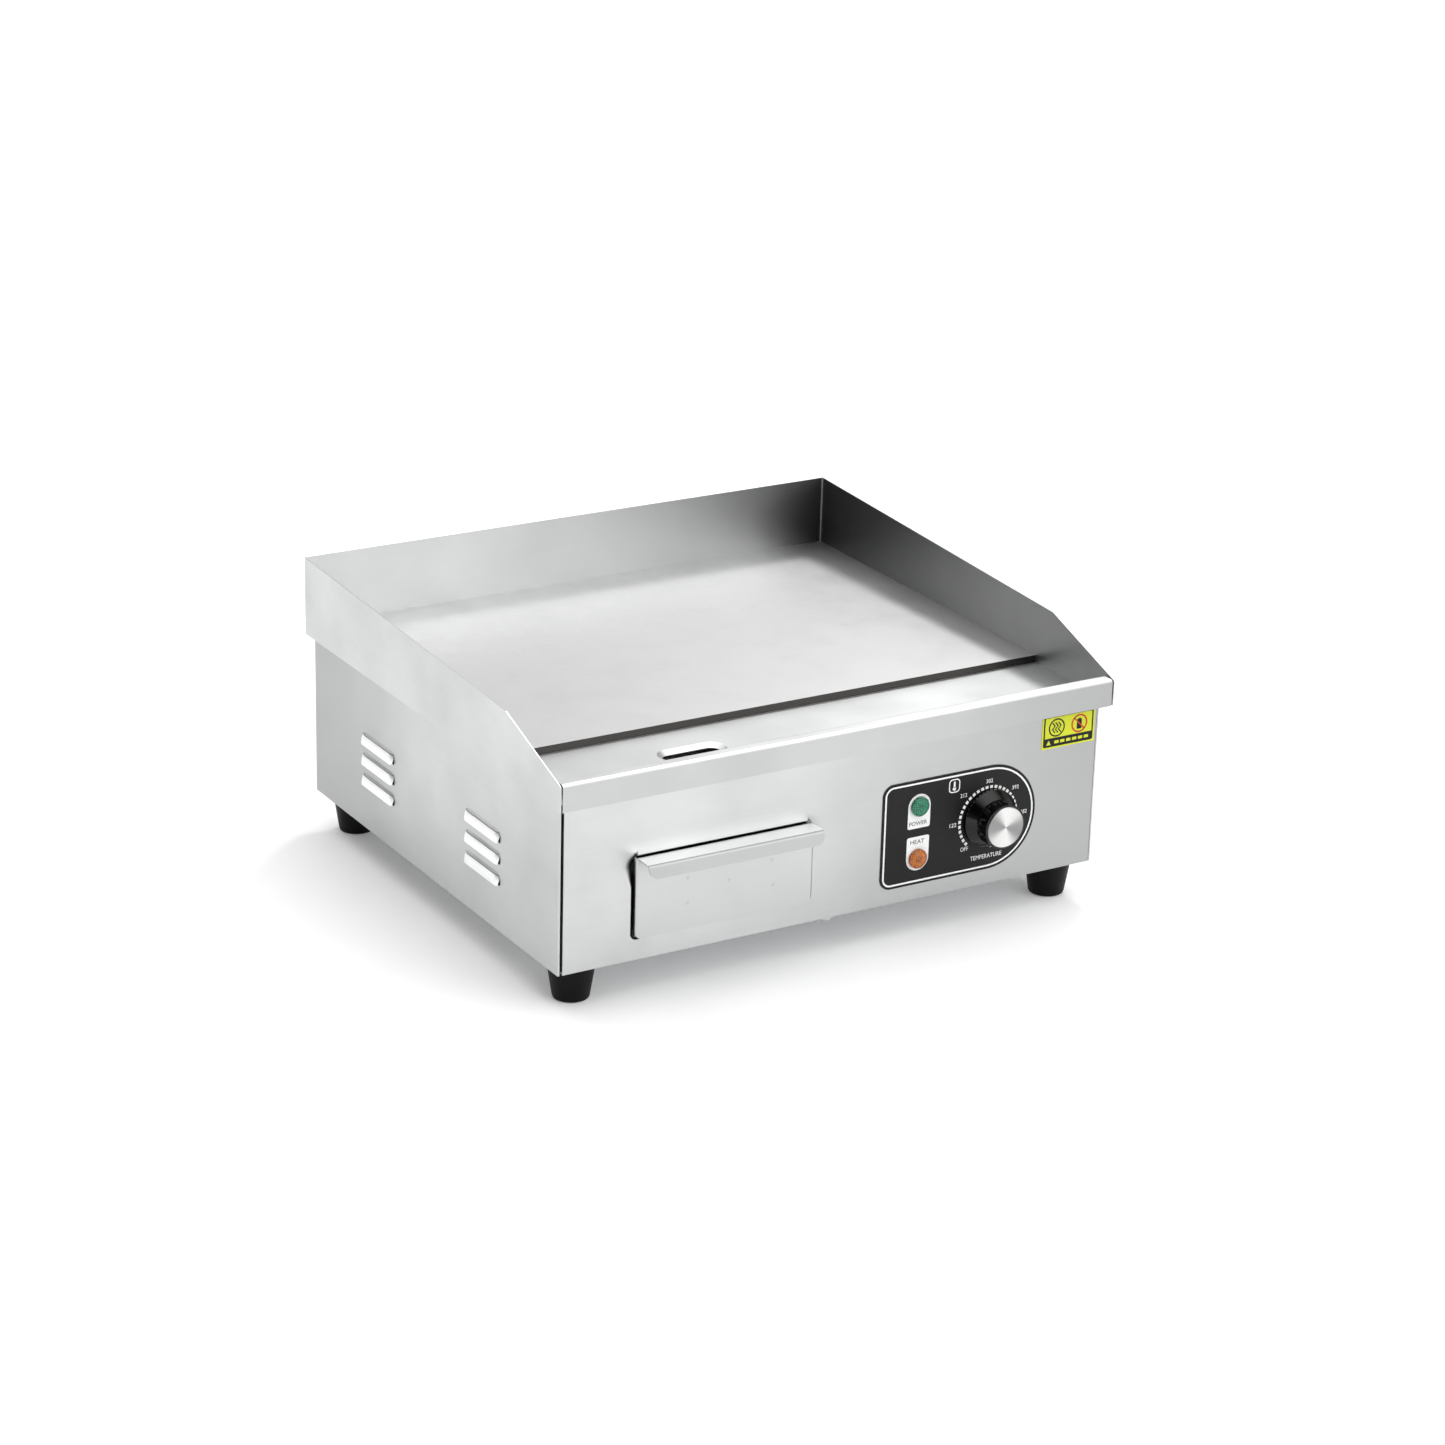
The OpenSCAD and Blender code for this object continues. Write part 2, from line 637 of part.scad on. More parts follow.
module drawer_handle() {
    low = front_top - handle_r + (handle_r - sheet_t) * cos(handle_turn) - handle_face * sin(handle_turn);
    high = front_top + eps;
    intersection() {
        translate([front_x - handle_w / 2, 0, 0]) rotate([90, 0, 90]) linear_extrude(handle_w)
            handle_section();
        upright(drawer_face - handle_reach - 1, drawer_face + 2) translate([front_x, 0]) {
            translate([-handle_w / 2, low + handle_corner])
                square([handle_w, high - low - handle_corner]);
            translate([handle_corner - handle_w / 2, low])
                square([handle_w - 2 * handle_corner, handle_corner]);
            for (s = [-1, 1]) translate([s * (handle_w / 2 - handle_corner), low + handle_corner])
                circle(handle_corner);
        }
    }
}

module drawer_front() color(steel) in_body() {
    // a face with its sides folded back and round lower corners
    translate([front_x, 0, 0]) intersection() {
        translate([0, 0, front_z]) linear_extrude(front_h) difference() {
            folded_front(0);
            folded_front(sheet_t);
            translate([-front_w, drawer_face + front_fold]) square(2 * front_w);
        }
        upright(drawer_face - 1, drawer_face + front_fold + 1) {
            translate([-front_w / 2, front_z + opening_r]) square([front_w, front_h - opening_r]);
            translate([opening_r - front_w / 2, front_z]) square([front_w - 2 * opening_r, opening_r]);
            for (s = [-1, 1]) translate([s * (front_w / 2 - opening_r), front_z + opening_r])
                circle(opening_r);
        }
    }
    drawer_handle();
}

// plan of the drawer front, out to its folded sides
module folded_front(inset) {
    w = front_w / 2 - inset;
    y = drawer_face + inset;
    r = fold_r - inset;
    translate([-w + r, y]) square([2 * (w - r), 2 * front_fold]);
    translate([-w, y + r]) square([2 * w, 2 * front_fold]);
    for (s = [-1, 1]) translate([s * (w - r), y + r]) circle(r);
}

module drawer_tray() color(steel) in_body() difference() {
    slab(opening_x - tray_w / 2, opening_x + tray_w / 2, drawer_face + sheet_t, tray_l,
        tray_z, tray_z + tray_h);
    slab(opening_x - tray_w / 2 + sheet_t, opening_x + tray_w / 2 - sheet_t,
        drawer_face + 2 * sheet_t, tray_l - sheet_t, tray_z + sheet_t, tray_z + tray_h + eps);
}

// ---------- controls ----------
module label_outline() {
    r = 9;
    left = label_right - label_w;
    translate([knob_x, label_z]) circle(label_r, $fn = 96);
    translate([left + r, label_z - label_r]) square([knob_x - left - r, label_h]);
    translate([left, label_z - label_r + r]) square([2 * r, label_h - 2 * r]);
    for (s = [-1, 1]) translate([left + r, label_z + s * (label_r - r)]) circle(r);
}

module control_label() color(black) in_body() difference() {
    upright(-label_t, 0) label_outline();
    for (z = lamp_zs) translate([lamp_x, 0, z]) rod_y(lamp_hole_d, -1, eps);
    translate([knob_x, 0, label_z]) rod_y(bushing_d + 0.4, -1, eps);
}

// a lens with a shallow domed face, standing on the label
module lens() {
    dome_r = 16;
    rise = 1.2;
    translate([0, -label_t, 0]) {
        rod_y(lens_d, -2, 0);
        translate([0, -2, 0]) intersection() {
            translate([0, dome_r - rise, 0]) sphere(dome_r, $fn = 96);
            rod_y(lens_d, -rise - 1, eps);
        }
        rod_y(lamp_hole_d - 0.6, -eps, label_t + sheet_t);
    }
}
module power_lens() color("green") in_body() translate([lamp_x, 0, lamp_zs[0]]) lens();
module heat_lens() color("orange") in_body() translate([lamp_x, 0, lamp_zs[1]]) lens();

module lamp_bodies() color("ivory") in_body() for (z = lamp_zs) translate([lamp_x, 0, z]) {
    rod_y(lamp_hole_d - 1, sheet_t, 24);
    for (s = [-1, 1]) translate([s * 2.5 - 0.4, 24 - eps, -2.4]) cube([0.8, 8, 4.8]);
}

module lamp_clips() color(steel) in_body() for (z = lamp_zs) translate([lamp_x, 0, z])
    difference() {
        rod_y(lamp_hole_d + 5, sheet_t, sheet_t + 1);
        rod_y(lamp_hole_d - 1, 0, 3);
    }

bracket_t = 1.5;
thermostat_y = sheet_t + bracket_t;
module thermostat_bracket() color(steel) in_body() translate([knob_x, 0, label_z]) difference() {
    upright(sheet_t, thermostat_y) rounded_rect(bracket_pitch + 12, 16, 4);
    rod_y(bushing_d, 0, thermostat_y + eps);
    for (s = [-1, 1]) translate([s * bracket_pitch / 2, 0, 0]) rod_y(3, 0, thermostat_y + eps);
}

module thermostat_body() color("ivory") in_body() translate([knob_x, 0, label_z]) {
    difference() {
        union() {
            translate([0, thermostat_y, 0]) rod_y(20, 0, 4);
            translate([0, thermostat_y + 4, 0]) upright(0, 24) rounded_rect(42, 34, 5);
            rod_y(bushing_d - 0.2, 0.2, thermostat_y + eps);
        }
        rod_y(shaft_d + 0.15, 0, thermostat_y + 14);
    }
    for (x = [-12, 12]) translate([x - 3.15, thermostat_y + 28 - eps, -0.4]) cube([6.3, 8, 0.8]);
    translate([0, thermostat_y + 28 - eps, 10]) rod_y(6, 0, 5);
}

module thermostat_screws() color(steel) in_body() for (s = [-1, 1])
    translate([knob_x + s * bracket_pitch / 2, 0, label_z]) rod_y(2.9, 0, thermostat_y + 2.5);

// the shaft with its flat, from inside the thermostat into the knob
module thermostat_shaft() color(steel) in_body() translate([knob_x, 0, label_z]) difference() {
    rod_y(shaft_d, -shaft_out, thermostat_y + 12);
    translate([-shaft_d, -shaft_out - eps, shaft_d / 2 - 1.5]) cube([2 * shaft_d, shaft_out - 5, shaft_d]);
}

knob_rim = 2.2;                 // straight edge of the skirt
grip_d = cap_d + 3.6;
skirt_h = 9;                    // where the skirt's cone meets the grip
socket_d = shaft_d + 3;
cap_t = 1.2;
cap_seat = 0.8;
module knob() color(black) in_body() translate([knob_x, knob_back, label_z]) rotate([90, 0, 0])
    difference() {
        union() {
            cylinder(d = knob_d, h = knob_rim);
            translate([0, 0, knob_rim]) cylinder(d1 = knob_d, d2 = grip_d, h = skirt_h - knob_rim);
            difference() {
                translate([0, 0, skirt_h])
                    cylinder(d1 = grip_d, d2 = grip_d - 0.6, h = knob_h - cap_seat - skirt_h);
                // finger flutes
                for (a = [18:36:342]) rotate([0, 0, a]) translate([grip_d / 2 + 3.2, 0, skirt_h - 2])
                    cylinder(d = 8.6, h = knob_h - skirt_h - 2);
            }
        }
        translate([0, 0, -eps]) cylinder(d = socket_d, h = shaft_out + 1.5);
        translate([0, 0, -eps]) cylinder(d = knob_d - 6, h = 2);
        translate([0, 0, knob_h - cap_t]) cylinder(d = cap_d + 0.2, h = cap_t + eps);
    }

module knob_cap() color("silver") in_body() translate([knob_x, knob_back, label_z]) rotate([90, 0, 0])
    translate([0, 0, knob_h - cap_t]) {
        cylinder(d = cap_d, h = cap_t - 0.4);
        translate([0, 0, cap_t - 0.4]) cylinder(d1 = cap_d, d2 = cap_d - 0.8, h = 0.4);
    }

// the sleeve between the shaft and the knob's socket
module knob_clip() color(steel) in_body() translate([knob_x, 0, label_z]) difference() {
    rod_y(socket_d, -shaft_out + 1, -5);
    rod_y(shaft_d, -shaft_out, 0);
}

// ---------- sensor, cut-out, terminals ----------
bulb_y = (element_front_y + 3 * run_pitch + element_rear_y) / 2;
bulb_d = 6;
bulb_z = plate_z - bulb_d / 2 - tube_gap;
bulb_x0 = 20;
bulb_l = 90;
module sensor_bulb() color("peru") in_body() translate([bulb_x0, bulb_y, bulb_z])
    rotate([0, 90, 0]) cylinder(d = bulb_d, h = bulb_l);

module bulb_clips() color(steel) in_body() for (x = [bulb_x0 + 14, bulb_x0 + bulb_l - 22])
    translate([x, bulb_y, 0]) difference() {
        slab(0, 8, -bulb_d / 2 - 1, bulb_d / 2 + 1, plate_z - bulb_d - 1.2, plate_z);
        translate([-1, 0, bulb_z]) rotate([0, 90, 0]) cylinder(d = bulb_d, h = 10);
        slab(-1, 9, -bulb_d / 2, bulb_d / 2, bulb_z, plate_z + 1);
    }

module thermal_cutout() color("ivory") in_body() translate([-60, bulb_y, 0]) {
    translate([0, 0, plate_z - 2]) cylinder(d = 16, h = 2);
    translate([0, 0, plate_z - 11]) cylinder(d = 13, h = 9 + eps);
    for (s = [-1, 1]) translate([s * 4 - 0.4, -3, plate_z - 18]) cube([0.8, 6, 7 + eps]);
}

function pole_x(i) = block_x + block_l * (i + 0.5) / 3;
pole_z = base_top + block_h / 2;
screw_ys = [6, block_w - 6];
module terminal_block() color("ivory") in_body() difference() {
    slab(block_x, block_x + block_l, block_y, block_y + block_w, base_top, base_top + block_h);
    for (i = [0:2]) translate([pole_x(i), block_y - eps, pole_z]) rod_y(5, 0, block_w + 1);
    for (i = [0:2], y = screw_ys) translate([pole_x(i), block_y + y, pole_z]) cylinder(d = 5, h = block_h);
}

module terminal_screws() color("goldenrod") in_body() for (i = [0:2], y = screw_ys)
    translate([pole_x(i), block_y + y, pole_z + 3.2])
        cylinder(d = 4.6, h = block_h / 2 - 4.4);

earth_x = half_w - 40;
earth_y = body_d - 90;
module earth_stud() color("goldenrod") in_body() translate([earth_x, earth_y, base_top]) {
    cylinder(d = 5, h = 16);
    cylinder(d = 8 / cos(30), h = 4, $fn = 6);
    translate([0, 0, 4]) cylinder(d = 10, h = 1);
}

// ---------- wiring ----------
// a round lead swept through points, with its corners rounded off
bend_steps = 5;
lead_sides = 8;
function bend_points(a, b, c, r) =
    let(u = (a - b) / norm(a - b), v = (c - b) / norm(c - b),
        k = min(r, norm(a - b) / 2.1, norm(c - b) / 2.1), p = b + k * u, q = b + k * v)
    [for (i = [0:bend_steps]) let(t = i / bend_steps)
        (1 - t) * (1 - t) * p + 2 * t * (1 - t) * b + t * t * q];
function rounded_path(pts, r) = concat([pts[0]],
    [for (i = [1:len(pts) - 2]) each bend_points(pts[i - 1], pts[i], pts[i + 1], r)],
    [pts[len(pts) - 1]]);
function unit(v) = v / norm(v);
function tangent(p, i) = unit(p[min(i + 1, len(p) - 1)] - p[max(i - 1, 0)]);
function side_of(t, last) = unit(last - (last * t) * t);
function frames(p, i = 0, last = [0, 0.31, 0.95], done = []) = i == len(p) ? done :
    let(t = tangent(p, i), n = side_of(t, last)) frames(p, i + 1, n, concat(done, [[n, cross(t, n)]]));

module lead(pts, d, r = 12) {
    p = rounded_path(pts, r);
    f = frames(p);
    n = len(p);
    polyhedron(
        points = [for (i = [0:n - 1], k = [0:lead_sides - 1]) let(a = 360 * k / lead_sides)
            p[i] + d / 2 * (cos(a) * f[i][0] + sin(a) * f[i][1])],
        faces = concat([[for (k = [0:lead_sides - 1]) k]],
            [for (i = [0:n - 2], k = [0:lead_sides - 1]) let(j = (k + 1) % lead_sides)
                [i * lead_sides + k, (i + 1) * lead_sides + k, (i + 1) * lead_sides + j, i * lead_sides + j]],
            [[for (k = [lead_sides - 1:-1:0]) (n - 1) * lead_sides + k]]));
}

tab_y = thermostat_y + 36.6;
pin_low = pin_z - 8.6;
pin_at = pin_x + elbow_r;
lead_d = 3;

module line_lead() color("brown") in_body()
    lead([[pole_x(2), block_y - 0.6, pole_z], [pole_x(2), block_y - 60, pole_z],
        [half_w - 30, block_y - 90, 24], [half_w - 30, 90, 24], [knob_x + 12, 80, label_z],
        [knob_x + 12, tab_y, label_z]], lead_d, 20);

module neutral_lead() color("royalblue") in_body()
    lead([[pole_x(0), block_y - 0.6, pole_z], [pole_x(0), block_y - 10, pole_z],
        [pole_x(0), block_y - 18, 34], [pin_at - 22, block_y - 50, 44],
        [pin_at - 22, element_rear_y + 3 * run_pitch - 12, pin_low - 16],
        [pin_at, element_rear_y + 3 * run_pitch, pin_low - 16],
        [pin_at, element_rear_y + 3 * run_pitch, pin_low]], lead_d);

module element_leads() color("white") in_body() {
    low = label_z - 10;         // passes under the line lead
    lead([[knob_x - 12, tab_y, label_z], [knob_x - 12, 60, label_z], [knob_x - 8, 68, low],
        [pin_at, 78, low], [pin_at, element_front_y, low], [pin_at, element_front_y, pin_low]], lead_d);
    lead([[pin_at, element_front_y + 3 * run_pitch, pin_low],
        [pin_at, element_front_y + 3 * run_pitch, pin_low - 14],
        [pin_at, element_rear_y, pin_low - 14], [pin_at, element_rear_y, pin_low]], lead_d);
}

module lamp_leads() color("red") in_body() for (i = [0, 1]) {
    z = lamp_zs[i];
    x = lamp_x + 26 - 8 * i;
    end_x = pole_x(1) + 1.2 - 2.4 * i;
    lead([[lamp_x + 2.5, 33.4, z], [lamp_x + 2.5, 48, z], [x, 52, z], [x, 70, 14],
        [x, block_y - 38 + 8 * i, 14], [end_x, block_y - 28 + 8 * i, pole_z],
        [end_x, block_y - 0.6, pole_z]], 2, 10);
}

module capillary_tube() color("peru") in_body()
    lead([[knob_x, thermostat_y + 33.2, label_z + 10], [knob_x, thermostat_y + 46, label_z + 10],
        [knob_x - 10, shield_y0 - 12, label_z + 14], [knob_x - 10, shield_y0 - 12, bulb_z - 9],
        [knob_x - 10, shield_y0 + 8, bulb_z - 9.5], [knob_x - 10, bulb_y, bulb_z - 9.5],
        [bulb_x0 + bulb_l + 22, bulb_y, bulb_z - 6], [bulb_x0 + bulb_l + 10, bulb_y, bulb_z],
        [bulb_x0 + bulb_l + 0.2, bulb_y, bulb_z]], 1.6, 8);

// ---------- rear ----------
gland_in = 12;
module cord_gland() color(black) in_body() translate([gland_x, 0, gland_z]) difference() {
    union() {
        rod_y(gland_hole_d, body_d - sheet_t - gland_in, body_d - sheet_t + eps);
        translate([0, body_d - sheet_t, 0]) rotate([-90, 0, 0])
            cylinder(d = 22 / cos(30), h = 5, $fn = 6);
        rod_y(19, body_d + 4, body_d + gland_out);
    }
    rod_y(gland_bore, 0, body_d + gland_out + 1);
    rod_y(12.4, body_d + 4, body_d + 10.4);
}

module gland_seal() color("gray") in_body() translate([gland_x, 0, gland_z]) difference() {
    rod_y(12.2, body_d + 4.2, body_d + 10.2);
    rod_y(gland_bore, body_d, body_d + gland_out);
}

module gland_nut() color(black) in_body() translate([gland_x, body_d - 2 * sheet_t - 5, gland_z])
    rotate([-90, 0, 0]) hex_nut(22, 5, gland_hole_d + 0.2);

module rating_plate() color("silver") in_body() translate([gland_x - 90, 0, 70])
    upright(body_d - sheet_t, body_d - sheet_t + 0.4) rounded_rect(60, 38, 3);

hot_label_w = 46;
hot_label_h = 26.2;
hot_label_t = 0.25;
hot_label_drop = 3.4;           // from the top of the body down to the label
module hot_surface_label() color("yellow") in_body() {
    right = front_x1 - 1.7;
    top = body_h - hot_label_drop;
    slab(right - hot_label_w, right, -hot_label_t, 0, top - hot_label_h, top);
}

// ---------- feet and fasteners ----------
module foot() difference() {
    rotate_extrude() polygon([[0, 0], [foot_base_d / 2 - 2, 0], [foot_base_d / 2 - 0.6, 0.6],
        [foot_base_d / 2, 2], [foot_top_d / 2, foot_h], [0, foot_h]]);
    translate([0, 0, -eps]) cylinder(d = foot_recess_d, h = foot_h - foot_seat + eps);
    translate([0, 0, -eps]) cylinder(d = foot_screw_d + 0.4, h = foot_h + 2 * eps);
}
module at_foot(sx, y) translate([sx * foot_x, front_y + y, 0]) children();
module at_feet() for (sx = [-1, 1], y = [foot_front, foot_back]) at_foot(sx, y) children();

module front_left_foot() color(black) at_foot(-1, foot_front) foot();
module front_right_foot() color(black) at_foot(1, foot_front) foot();
module rear_left_foot() color(black) at_foot(-1, foot_back) foot();
module rear_right_foot() color(black) at_foot(1, foot_back) foot();

washer_t = 1;
module foot_washers() color(steel) at_feet() translate([0, 0, foot_h - foot_seat - washer_t]) difference() {
    cylinder(d = foot_recess_d - 1, h = washer_t);
    translate([0, 0, -eps]) cylinder(d = foot_screw_d + 0.4, h = washer_t + 2 * eps);
}

module foot_screws() color(steel) at_feet() translate([0, 0, foot_h - foot_seat - washer_t])
    pan_screw(9.5, 3.4, foot_screw_d, foot_seat + washer_t + base_top + 6);

module foot_nuts() color(steel) at_feet() translate([0, 0, foot_h + base_top])
    hex_nut(8, 4, foot_screw_d + 0.2);

module base_screw() color(steel) in_body() translate([base_screw_x, base_screw_y, 0])
    pan_screw(10.5, 4.6, 4, base_top + 8);

module rear_screws() color(steel) in_body() for (s = [-1, 1], z = rear_screw_zs)
    translate([s * rear_screw_x, body_d, z]) rotate([90, 0, 0]) pan_screw(7, 2.4, 3, 8);

front_panel();
left_side_panel();
right_side_panel();
rear_panel();
base_plate();
grease_deck();
left_splash_guard();
right_splash_guard();
rear_splash_guard();
griddle_plate();
front_heating_element();
rear_heating_element();
element_clamp_bars();
plate_studs();
clamp_nuts();
insulation_blanket();
heat_shield();
left_drawer_rail();
right_drawer_rail();
drawer_stop();
drawer_front();
drawer_tray();
control_label();
power_lens();
heat_lens();
lamp_bodies();
lamp_clips();
thermostat_body();
thermostat_bracket();
thermostat_screws();
capillary_tube();
sensor_bulb();
bulb_clips();
thermal_cutout();
thermostat_shaft();
knob();
knob_cap();
knob_clip();
terminal_block();
terminal_screws();
earth_stud();
line_lead();
neutral_lead();
element_leads();
lamp_leads();
cord_gland();
gland_seal();
gland_nut();
rating_plate();
hot_surface_label();
front_left_foot();
front_right_foot();
rear_left_foot();
rear_right_foot();
foot_washers();
foot_screws();
foot_nuts();
base_screw();
rear_screws();
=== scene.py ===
"""Counter-top electric griddle: finishes, printed graphics, small fittings, studio and camera."""
import json
import math

import bmesh
import bpy
from mathutils import Matrix, Vector


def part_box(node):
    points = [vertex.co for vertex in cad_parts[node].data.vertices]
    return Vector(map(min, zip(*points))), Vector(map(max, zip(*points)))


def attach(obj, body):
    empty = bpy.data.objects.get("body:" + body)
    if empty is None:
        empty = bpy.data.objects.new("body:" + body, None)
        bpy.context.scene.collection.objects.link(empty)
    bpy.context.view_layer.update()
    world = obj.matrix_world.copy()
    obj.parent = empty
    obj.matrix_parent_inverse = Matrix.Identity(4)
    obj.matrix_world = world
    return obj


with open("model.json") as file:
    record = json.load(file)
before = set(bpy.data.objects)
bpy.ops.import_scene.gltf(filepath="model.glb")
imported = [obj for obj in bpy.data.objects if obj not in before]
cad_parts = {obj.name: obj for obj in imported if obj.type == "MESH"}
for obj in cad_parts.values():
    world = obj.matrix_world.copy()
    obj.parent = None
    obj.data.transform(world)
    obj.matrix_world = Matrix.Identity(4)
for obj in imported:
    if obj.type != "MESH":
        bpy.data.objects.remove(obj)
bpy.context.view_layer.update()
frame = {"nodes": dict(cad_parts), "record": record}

MM = 0.001
INK = 0.06          # thickness of a printed layer, mm


# ---------- camera ----------
CAMERA_PLACE = (-1.38177, -2.31034, 1.13674)
CAMERA_YAW = 31.193
CAMERA_PITCH = 20.861
CAMERA_ROLL = 1.550
LENS = 97.516
SENSOR = 36.0

lens = bpy.data.cameras.new("studio_camera")
lens.lens = LENS
lens.sensor_width = SENSOR
lens.clip_start = 0.05
lens.clip_end = 60.0
camera = bpy.data.objects.new("studio_camera", lens)
camera.matrix_world = (
    Matrix.Translation(CAMERA_PLACE)
    @ Matrix.Rotation(math.radians(-CAMERA_YAW), 4, "Z")
    @ Matrix.Rotation(math.radians(90.0 - CAMERA_PITCH), 4, "X")
    @ Matrix.Rotation(math.radians(CAMERA_ROLL), 4, "Z")
)
bpy.context.scene.collection.objects.link(camera)
bpy.context.scene.camera = camera


# ---------- colours and nodes ----------
# sockets of a Mix node that mixes colours
SHARE, FIRST, SECOND, MIXED = 0, 6, 7, 2


def srgb(code):
    """A six-digit sRGB colour as linear red, green, blue and alpha."""
    channels = [int(code[i:i + 2], 16) / 255 for i in (0, 2, 4)]
    return tuple(c / 12.92 if c <= 0.04045 else ((c + 0.055) / 1.055) ** 2.4 for c in channels) + (1.0,)


def add(tree, kind, sockets=None, **settings):
    """Adds one node: its own settings, then a link, a colour code or a number for each socket."""
    made = tree.nodes.new(kind)
    for name, value in settings.items():
        setattr(made, name, value)
    for name, value in (sockets or {}).items():
        if isinstance(value, bpy.types.NodeSocket):
            tree.links.new(value, made.inputs[name])
        else:
            made.inputs[name].default_value = srgb(value) if isinstance(value, str) else value
    return made


def cloud(tree, place, size_mm, detail=3.0):
    """Soft noise of that grain size, with its usual values spread from 0 to 1."""
    noise = add(tree, "ShaderNodeTexNoise", {"Vector": place, "Scale": 1 / (size_mm * MM), "Detail": detail})
    return add(tree, "ShaderNodeMapRange",
               {"Value": noise.outputs["Fac"], "From Min": 0.3, "From Max": 0.7}).outputs["Result"]


def finish(name, metallic, roughness, **sockets):
    """A new material with the constants set on the shader's own sockets: it, its tree, its shader, and the
    place of a point on the object."""
    made = bpy.data.materials.new(name)
    made.use_nodes = True
    tree = made.node_tree
    shader = tree.nodes["Principled BSDF"]
    shader.inputs["Metallic"].default_value = metallic
    shader.inputs["Roughness"].default_value = roughness
    for socket, value in sockets.items():
        shader.inputs[socket.replace("_", " ")].default_value = value
    return made, tree, shader, add(tree, "ShaderNodeTexCoord").outputs["Object"]


def feed(tree, shader, **links):
    """Feeds the shader's sockets from other nodes."""
    for socket, source in links.items():
        tree.links.new(source, shader.inputs[socket.replace("_", " ")])


def surface(tree, shader, share, pale, deep, height, depth_mm, strength, rough=None, **links):
    """Gives the shader a colour between two tones by a share, a skin dented by a height pattern, and a
    roughness that follows the share, where its two ends are given."""
    mixed = add(tree, "ShaderNodeMix", {SHARE: share, FIRST: pale, SECOND: deep}, data_type="RGBA")
    skin = add(tree, "ShaderNodeBump", {"Height": height, "Distance": depth_mm * MM, "Strength": strength})
    if rough:
        links["Roughness"] = add(tree, "ShaderNodeMapRange", {
            "Value": share, "To Min": rough[0], "To Max": rough[1]}).outputs["Result"]
    feed(tree, shader, Base_Color=mixed.outputs[MIXED], Normal=skin.outputs[0], **links)


# ---------- metals ----------
GRAIN_LENGTH = 45.0     # mm, length of a polishing line
GRAIN_PITCH = 1.1       # mm, drawn several times coarser than the real 0.1 mm grit lines, so that it shows
GRAIN_DEPTH = 0.004     # mm
CLOUD_SIZE = 70         # mm, the clouds that handling and cleaning leave
SATIN_ROUGH = (0.34, 0.42)
WELD_MARK = (0.6, 2.0)  # mm, radius of a weld's flat middle, and of its edge
WELD_DEPTH = 0.05       # mm


def satin_stainless(name, grain, pale, deep, dimples=(), painted_tones=()):
    """0.8 mm 304 stainless sheet, belt polished to a satin grain along one axis. It gives the eye a pale,
    nearly white grey with soft, slightly streaked reflections and faint clouds from handling; the tones it is
    given are painted light and shade."""
    made, tree, shader, place = finish(name, 1.0, SATIN_ROUGH[0])
    stretch = [1 / (GRAIN_PITCH * MM)] * 3
    stretch["XY".index(grain)] = 1 / (GRAIN_LENGTH * MM)
    drawn_out = add(tree, "ShaderNodeMapping", {"Vector": place, "Scale": stretch}).outputs["Vector"]
    lines = add(tree, "ShaderNodeTexNoise",
                {"Vector": drawn_out, "Scale": 1.0, "Detail": 4.0}).outputs["Fac"]
    clouds = cloud(tree, place, CLOUD_SIZE, 4.0)
    streaked = add(tree, "ShaderNodeMath", {0: lines, 1: 0.35}, operation="MULTIPLY").outputs[0]
    share = add(tree, "ShaderNodeMath", {0: clouds, 1: 0.65, 2: streaked},
                operation="MULTIPLY_ADD").outputs[0]
    colour = add(tree, "ShaderNodeMix", {SHARE: share, FIRST: pale, SECOND: deep},
                 data_type="RGBA").outputs[MIXED]
    dull = add(tree, "ShaderNodeMapRange", {
        "Value": share, "To Min": SATIN_ROUGH[0], "To Max": SATIN_ROUGH[1]}).outputs["Result"]
    normal = add(tree, "ShaderNodeBump", {
        "Height": lines, "Distance": GRAIN_DEPTH * MM, "Strength": 0.5}).outputs[0]
    for measure, start, end, tone in painted_tones:
        # painted light and shade: the sheet changes to another tone as a measure goes from start to end
        sides = add(tree, "ShaderNodeSeparateXYZ", {0: place}).outputs
        value = {"across": sides["X"], "back": sides["Y"],
                 "outward": add(tree, "ShaderNodeMath", {0: sides["X"]}, operation="ABSOLUTE").outputs[0],
                 "facing_up": add(tree, "ShaderNodeSeparateXYZ", {
                     0: add(tree, "ShaderNodeTexCoord").outputs["Normal"]}).outputs["Z"]}[measure]
        painted_share = add(tree, "ShaderNodeMapRange", {"Value": value, "From Min": start, "From Max": end},
                   interpolation_type="SMOOTHSTEP").outputs["Result"]
        colour = add(tree, "ShaderNodeMix", {SHARE: painted_share, FIRST: colour, SECOND: tone},
                     data_type="RGBA").outputs[MIXED]
    if dimples:
        # resistance welds that hold the parts behind this sheet: faint round marks 4 mm across
        nearest = None
        for centre in dimples:
            away = add(tree, "ShaderNodeVectorMath", {0: place, 1: centre},
                       operation="DISTANCE").outputs["Value"]
            nearest = away if nearest is None else add(
                tree, "ShaderNodeMath", {0: nearest, 1: away}, operation="MINIMUM").outputs[0]
        mark = add(tree, "ShaderNodeMapRange", {
            "Value": nearest, "From Min": WELD_MARK[0] * MM, "From Max": WELD_MARK[1] * MM,
            "To Min": 1.0, "To Max": 0.0}, interpolation_type="SMOOTHSTEP").outputs["Result"]
        faint = add(tree, "ShaderNodeMath", {0: mark, 1: 0.3}, operation="MULTIPLY").outputs[0]
        colour = add(tree, "ShaderNodeMix", {SHARE: faint, FIRST: colour, SECOND: "9C9A97"},
                     data_type="RGBA").outputs[MIXED]
        sunk = add(tree, "ShaderNodeMath", {0: 1.0, 1: mark}, operation="SUBTRACT").outputs[0]
        normal = add(tree, "ShaderNodeBump", {
            "Height": sunk, "Distance": WELD_DEPTH * MM, "Strength": 0.6, "Normal": normal}).outputs[0]
    feed(tree, shader, Base_Color=colour, Roughness=dull, Normal=normal)
    return made


